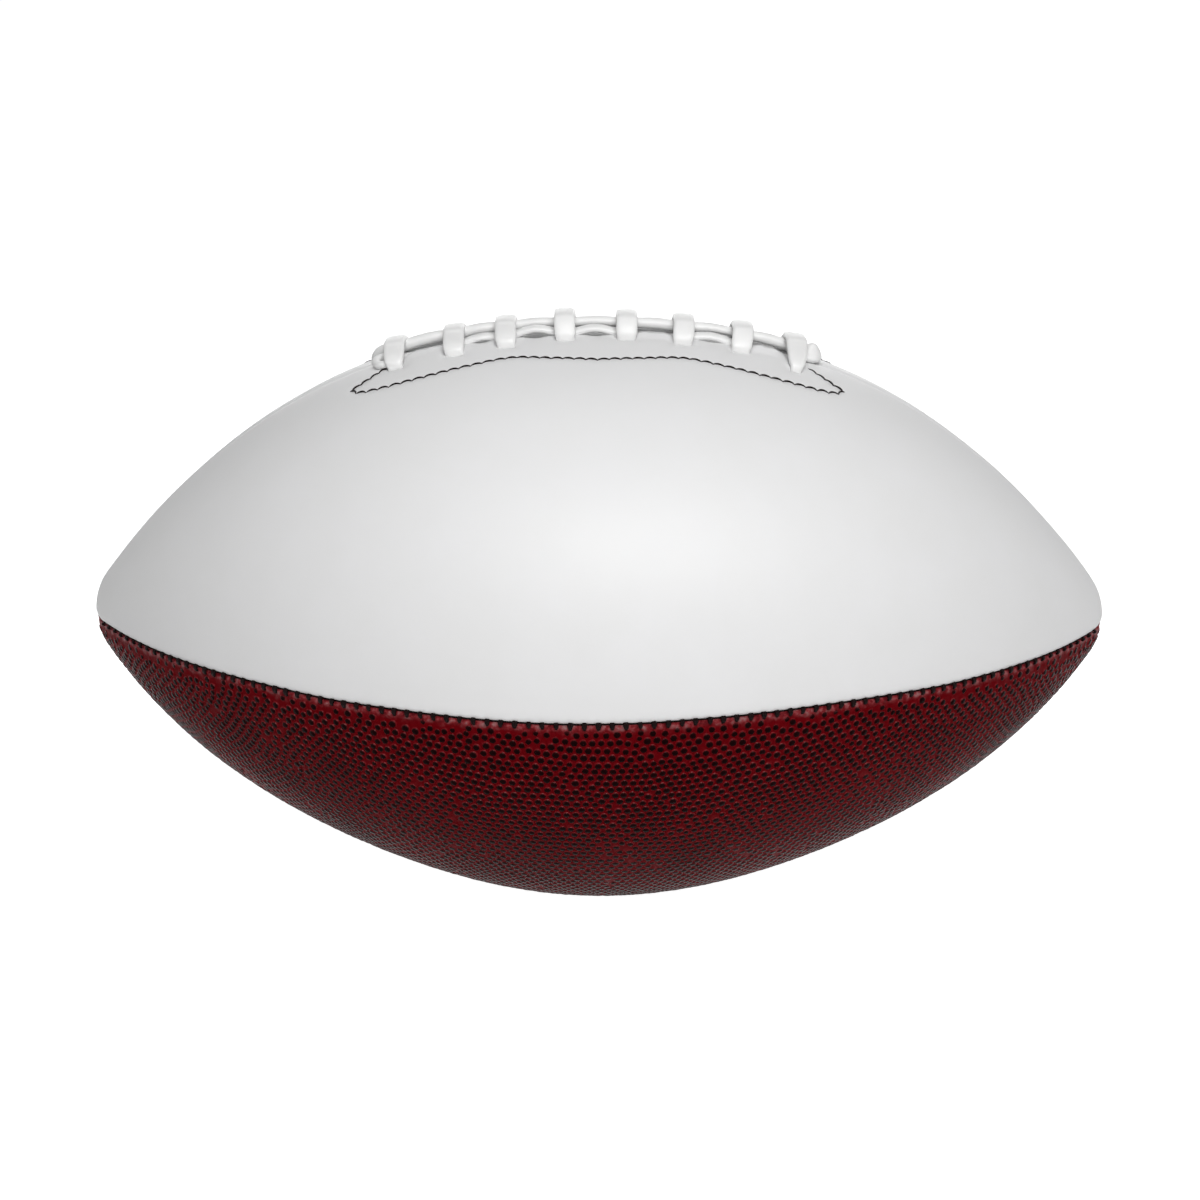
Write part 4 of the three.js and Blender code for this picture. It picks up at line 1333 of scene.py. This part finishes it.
def laceStations():
    flat, pinched, loop = laceShape["flat"], laceShape["pinched"], laceShape["loop"]
    near, nearHigh = laceShape["nearStrand"], laceShape["nearHeight"]
    farT, nearT = laceShape["farSpread"], laceShape["nearSpread"]
    deep, foot, tail = laceShape["runDepth"], laceShape["holeFoot"], laceShape["tail"]
    alongBack, forwards, backwards = (-1, 0, 0), (0, 1, 0), (0, -1, 0)
    holeX, holeT = lacing["farEndHole"]
    stations = []

    def go(x, t, h, wide, section):
        stations.append((x, t, h, *wide, *section))

    go(holeX - tail, holeT, -deep, forwards, flat)
    go(holeX - 2, holeT, -deep, forwards, near)
    go(holeX, holeT, -foot, forwards, near)
    go(holeX, holeT, -0.3, forwards, (3.4, 3.0, 0.9))
    far = (laceShape["farWidth"], laceShape["farThickness"][0], 0.9)
    go(holeX + 0.9, holeT + 0.2, 1.3, forwards, far)
    go(holeX + 3, mix(holeT, farT, 0.6), 2.2, forwards, far)
    for k, x in enumerate(strapX):
        farHigh = laceShape["farTop"] - far[1] / 2
        go(x, farT, farHigh, forwards, far)
        if x < strapX[-1]:
            far = (far[0], laceShape["farThickness"][k], far[2])
            farHigh = laceShape["farTop"] - far[1] / 2 + laceShape["farArch"]
            go(betweenStraps(k)[0], farT + 0.25, farHigh, forwards, far)
    # the loop at the end stands on its edge
    loopX = strapX[-1] + laceShape["loopStart"]
    reach, half = laceShape["loopEnd"] - strapX[-1] - laceShape["loopStart"], (nearT - farT) / 2
    for eighth, upright in enumerate(laceShape["loopUpright"], -2):
        c, s = math.cos(eighth * math.pi / 4), math.sin(eighth * math.pi / 4)
        wide = (-c * (1 - upright), -s * (1 - upright), upright)
        section = loop if upright else (far if eighth < 0 else near)
        high = mix(farHigh, 0.9, (eighth + 2) / 4) + laceShape["loopRise"] * c
        go(loopX + reach * c, 0.15 + half * s, high, wide, section)
    for k in reversed(range(len(strapX))):
        go(strapX[k], nearT, nearHigh[k], backwards, near)
        if k:
            go(betweenStraps(k - 1)[0], nearT + 0.2, laceShape["nearMiddle"][k - 1], backwards, near)
    holeX, holeT = lacing["endHole"]
    # the near end curls round in front of the first strap and goes down under it
    curl = laceShape["curl"]
    go(strapX[0] - 2.8, nearT - 0.5, nearHigh[0] + 1.1, backwards, (3.0, 2.2, 0.9))
    go(strapX[0] - 5.0, nearT + 0.5, 1.7, (-0.7, -0.7, 0), curl)
    go(strapX[0] - 5.8, nearT + 3.0, 1.4, alongBack, curl)
    go(strapX[0] - 4.5, nearT + 5.2, 1.1, (-0.7, 0.7, 0), curl)
    go(strapX[0] - 2.2, holeT + 0.9, 0.9, forwards, curl)
    go(holeX + 0.1, holeT + 0.2, -0.4, forwards, curl)
    go(holeX + 0.1, holeT, -foot, forwards, curl)
    go(holeX, holeT - 2, -deep, alongBack, flat)
    go(holeX, 0, -deep, alongBack, flat)
    for k, top in enumerate(laceShape["strapHeight"]):
        levelled = (-1, 0, -laceShape["level"] * math.tan(leanAt(runAt(strapX[k]))))
        for side, holes in ((-1, lacing["farHoles"]), (1, lacing["nearHoles"])):
            edge = holes[k]
            narrow = lacing["nearNarrow"][k] if side > 0 else 1
            thin, tapered = (pinched[0] * narrow, *pinched[1:]), (flat[0] * (1 + narrow) / 2, *flat[1:])
            bendT, bendShare, bendHeight = laceShape["strapBend"]
            edgeT, edgeDrop = laceShape["strapEdge"]
            up = [(edge - 2, -deep, flat), (edge, -foot, thin), (edge, -foot / 2, thin),
                  (edge - 0.1, 0.2, thin), (mix(bendT, edge, bendShare), bendHeight, tapered),
                  (edgeT, top - edgeDrop, flat), (laceShape["strapTop"], top, flat)]
            for t, h, section in up if side < 0 else reversed(up):
                go(strapAt(k, side * t), side * t, h, levelled if h > 1 else alongBack, section)
        step = betweenStraps(k)[1] if strapX[k] < strapX[-1] else laceShape["lastTurn"]
        go(strapX[k] + step, 0, -deep, alongBack, flat)
    go(strapX[-1] + tail, -lacing["farHoles"][-1], -deep, alongBack, flat)
    return stations


def makeLace():
    line = curveThrough(laceStations(), laceShape["steps"])
    points = [lacePoint(*place[:3]) for place in line]
    bm = bmesh.new()
    layers = loopLayers(bm)
    rings = []
    for i, place in enumerate(line):
        ahead = (points[min(i + 1, len(line) - 1)] - points[max(i - 1, 0)]).normalized()
        wide = Vector()
        for share, direction in zip(place[3:6], laceDirections(place[0], place[1])):
            wide += direction * share
        wide = (wide - ahead * wide.dot(ahead)).normalized()
        width, thickness, square = place[6:]
        rings.append(roundRing(points[i], wide * (width / 2), ahead.cross(wide) * (thickness / 2), square))
    tube(bm, layers, laceShape["sides"], rings)
    dropLayers(bm, layers, ())
    finishPiece(bm, "lace_cord", laceVinyl, "lace")


makeLace()
print("lace ready")


# Layers behind the leather
layersBehind = {
    "holeSteps": 20,
    "liningDepth": 2.78,
    "liningThickness": 0.5,
    "liningInset": 2.3,
    "liningNet": 4.5,
    "liningSteps": 240,
    "liningClear": (2, 8, 1.5),  # between the net and the seams, the tips and the holes
    "liningHoles": -0.2,  # how much larger they are than the holes in the leather
    "liningValve": 3.6,
    "areaSteps": 400,
    "facingDepth": 4.3,
    "facingThickness": 0.9,
    "facingMargin": 3.4,  # past the stitch line
    "facingInner": 2.4,
    "facingTip": 0.8,
    "facingSlant": 3,  # where the inner edge starts to slant, past the last strap
    "facingNet": 2.6,
    "facingSteps": 140,
    "facingClear": (1.2, 2),  # between the net and the edges or holes, and the tips
    "facingHoles": 0.2,
    "tongueDepth": 9.2,
    "tongueThickness": 1.1,
    "tongueSize": (83.6, 20),
    "tongueGrid": (56, 14),
    "tongueTaper": (0.25, 0.9),  # share of the width lost at the ends, and where it starts
}


def thickLayer(centre, holes, outline, count, inside, spacing, depth, thickness):
    # cut sheet on the ball: outline, holes and an even net between, given its thickness inwards
    bm = bmesh.new()
    layers = loopLayers(bm)
    net = triangleNet(bm, spacing, inside)
    edges = boundaryOf(bm, net) + wireLoop(bm, layers, count, 1, outline)
    for i, h in enumerate(holes):
        edges += wireLoop(bm, layers, layersBehind["holeSteps"], 2 + i,
                          lambda share: Vector((*superPlace(h, 0, share), 0)))
    fillBetween(bm, edges)
    for v in bm.verts:
        v.co.z = -depth
    made = bmesh.ops.extrude_face_region(bm, geom=bm.faces, use_keep_orig=True)["geom"]
    bmesh.ops.translate(bm, vec=(0, 0, -thickness), verts=vertsOf(made))
    wrapOnBall(bm, centre)
    dropLayers(bm, layers, ())
    return bm


def makeLining(place):
    inset, side = layersBehind["liningInset"], 1 if place.startswith("front") else -1
    holes = []
    if place.endswith("upper"):
        holes = laceHoles(side, layersBehind["liningHoles"])
    if place == "rear_lower":
        holes = [{"at": (0, 0), "size": [layersBehind["liningValve"]] * 2, "bend": 1}]
    panel = {"laceSide": 0}
    fromSeam, fromTip, aroundHole = layersBehind["liningClear"]

    def inside(run, across):
        clear = insetAt(panel, run, across) > inset + fromSeam and abs(run) < panelEnd(inset) - fromTip
        return clear and all(fromHole(h, run, across) > aroundHole for h in holes)

    outline = panelOutline(panel, inset, lambda run, share: 0)
    bm = thickLayer(panelCentres[place], holes, outline, layersBehind["liningSteps"], inside,
                    layersBehind["liningNet"], layersBehind["liningDepth"], layersBehind["liningThickness"])
    piece = finishPiece(bm, "cloth_" + place, liningCloth, "lining_" + place)
    end, steps = panelEnd(inset), layersBehind["areaSteps"]
    width, length = 2 * (halfWidth(0) - inset) / perMetre, 2 * end / perMetre
    area = sum(2 * (halfWidth(end * (2 * (i + 0.5) / steps - 1)) - inset) for i in range(steps))
    area *= 2 * end / steps / perMetre**2


for place in panelCentres:
    makeLining(place)
print("linings ready")


def facingEdges(x):
    # inner and outer distance of the facing's edge from the lace seam
    tip, margin = facingLine["corner"], layersBehind["facingMargin"]
    points = facingLine["points"] + [facingLine["corner"]]
    size = min(abs(x) * tip[0] / (tip[0] + margin), tip[0])
    a, b = next((a, b) for a, b in zip(points, points[1:]) if size <= b[0])
    outer = mix(a[1], b[1], (size - a[0]) / (b[0] - a[0]))
    slant = smooth(abs(x), lastStrap + layersBehind["facingSlant"], tip[0] + margin)
    inner = mix(layersBehind["facingInner"], tip[1], slant)
    return inner, outer + margin * (1 - slant) + layersBehind["facingTip"] * slant


def makeFacing(half, side):
    reach = facingLine["corner"][0] + layersBehind["facingMargin"]

    def outline(share):
        upper = share < 0.5
        x = reach * (4 * share - 1 if upper else 3 - 4 * share)
        t = facingEdges(x)[1 if upper else 0]
        run = runAt(x)
        return Vector((run, side * (halfWidth(run) - t), 0))

    holes = laceHoles(side, layersBehind["facingHoles"])[:-1]
    around, fromTip = layersBehind["facingClear"]

    def inside(run, across):
        x, t = profile(run)[0], halfWidth(run) - side * across
        if abs(x) > reach - fromTip:
            return False
        inner, outer = facingEdges(x)
        return inner + around < t < outer - around and all(fromHole(h, run, across) > around for h in holes)

    bm = thickLayer(panelCentres[half + "_upper"], holes, outline, layersBehind["facingSteps"], inside,
                    layersBehind["facingNet"], layersBehind["facingDepth"], layersBehind["facingThickness"])
    finishPiece(bm, "facing_" + half, facingLeather, "lace_facing_" + half)


makeFacing("front", 1)
makeFacing("rear", -1)


def makeTongue():
    bm = bmesh.new()
    columns, rows = layersBehind["tongueGrid"]
    bmesh.ops.create_grid(bm, x_segments=columns, y_segments=rows, size=1)
    reach, half = layersBehind["tongueSize"]
    loss, start = layersBehind["tongueTaper"]
    for v in bm.verts:
        x, t = v.co.x * reach, v.co.y * half * (1 - loss * smooth(abs(v.co.x), start, 1))
        v.co = lacePoint(x, -t, -layersBehind["tongueDepth"])
    bmesh.ops.recalc_face_normals(bm, faces=bm.faces)
    if sum(f.normal.z for f in bm.faces) < 0:
        bmesh.ops.reverse_faces(bm, faces=bm.faces)
    bmesh.ops.solidify(bm, geom=bm.faces, thickness=layersBehind["tongueThickness"])
    finishPiece(bm, "tongue", facingLeather, "lace_tongue")


makeTongue()
print("facings and tongue ready")

weldDistance = 0.001
# Rubber bladder, dented under the lacing
bladder = {
    "depth": 5.1,
    "dent": 5.8,
    "dentHalf": (95, 32),
    "shoulder": 16,
    "rings": 72,
    "turns": 96,
}


def makeBladder():
    bm = bmesh.new()
    bmesh.ops.create_uvsphere(bm, u_segments=bladder["turns"], v_segments=bladder["rings"], radius=1)
    lastRun = flankRun + tipRadius * (math.pi / 2 - flankLean)
    (dentLength, dentWidth), shoulder = bladder["dentHalf"], bladder["shoulder"]
    for v in bm.verts:
        run = lastRun * (1 - 2 * math.acos(max(-1, min(1, v.co.z))) / math.pi)
        angle = math.atan2(v.co.y, v.co.x)
        across = 1 - smooth(abs(angle) * ringRadius(run), dentWidth, dentWidth + shoulder)
        length = 1 - smooth(abs(profile(run)[0]), dentLength, dentLength + shoulder)
        v.co = ballPoint(run, angle, -bladder["depth"] - bladder["dent"] * across * length)
    bmesh.ops.remove_doubles(bm, verts=bm.verts, dist=weldDistance)
    finishPiece(bm, "bladder_skin", bladderRubber, "bladder")


makeBladder()
print("bladder ready")

# Needle valve: radius and height of each corner, turned about the valve's axis
valve = {
    "body": [(1.9, -22.1), (5.2, -22.1), (5.5, -21.8), (5.5, -9.6), (5.9, -9.2), (10.4, -9.15), (11, -8.7),
             (11, -8.1), (10.5, -7.7), (3.7, -7.65), (3.2, -7.2), (3.2, -0.75), (2.95, -0.5), (2.2, -0.5),
             (1.9, -0.7)],
    "core": [(0, -23.1), (1.2, -23.1), (1.6, -22.7), (1.6, -0.85), (1.4, -0.62), (0.9, -0.6), (0.55, -0.85),
             (0, -2.2)],
    "steps": 48,
}


def makeTurned(name, outline, closed, node):
    bm = bmesh.new()
    verts = [bm.verts.new((r, 0, z)) for r, z in outline]
    ends = list(zip(verts, verts[1:])) + ([(verts[-1], verts[0])] if closed else [])
    edges = [bm.edges.new(pair) for pair in ends]
    bmesh.ops.spin(bm, geom=verts + edges, cent=(0, 0, 0), axis=(0, 0, 1), dvec=(0, 0, 0),
                   angle=2 * math.pi, steps=valve["steps"], use_merge=True, use_duplicate=False)
    bmesh.ops.remove_doubles(bm, verts=bm.verts, dist=weldDistance)
    angle = panelCentres["rear_lower"]
    _, towardsFront, out = ballDirections(0, angle)
    place = placeMatrix(ballPoint(0, angle, 0), towardsFront.cross(out), towardsFront, out)
    bmesh.ops.transform(bm, matrix=place, verts=bm.verts)
    finishPiece(bm, name, valveRubber, node)


makeTurned("valve_tube", valve["body"], True, "valve_body")
makeTurned("valve_plug", valve["core"], False, "valve_core")
print("valve ready")
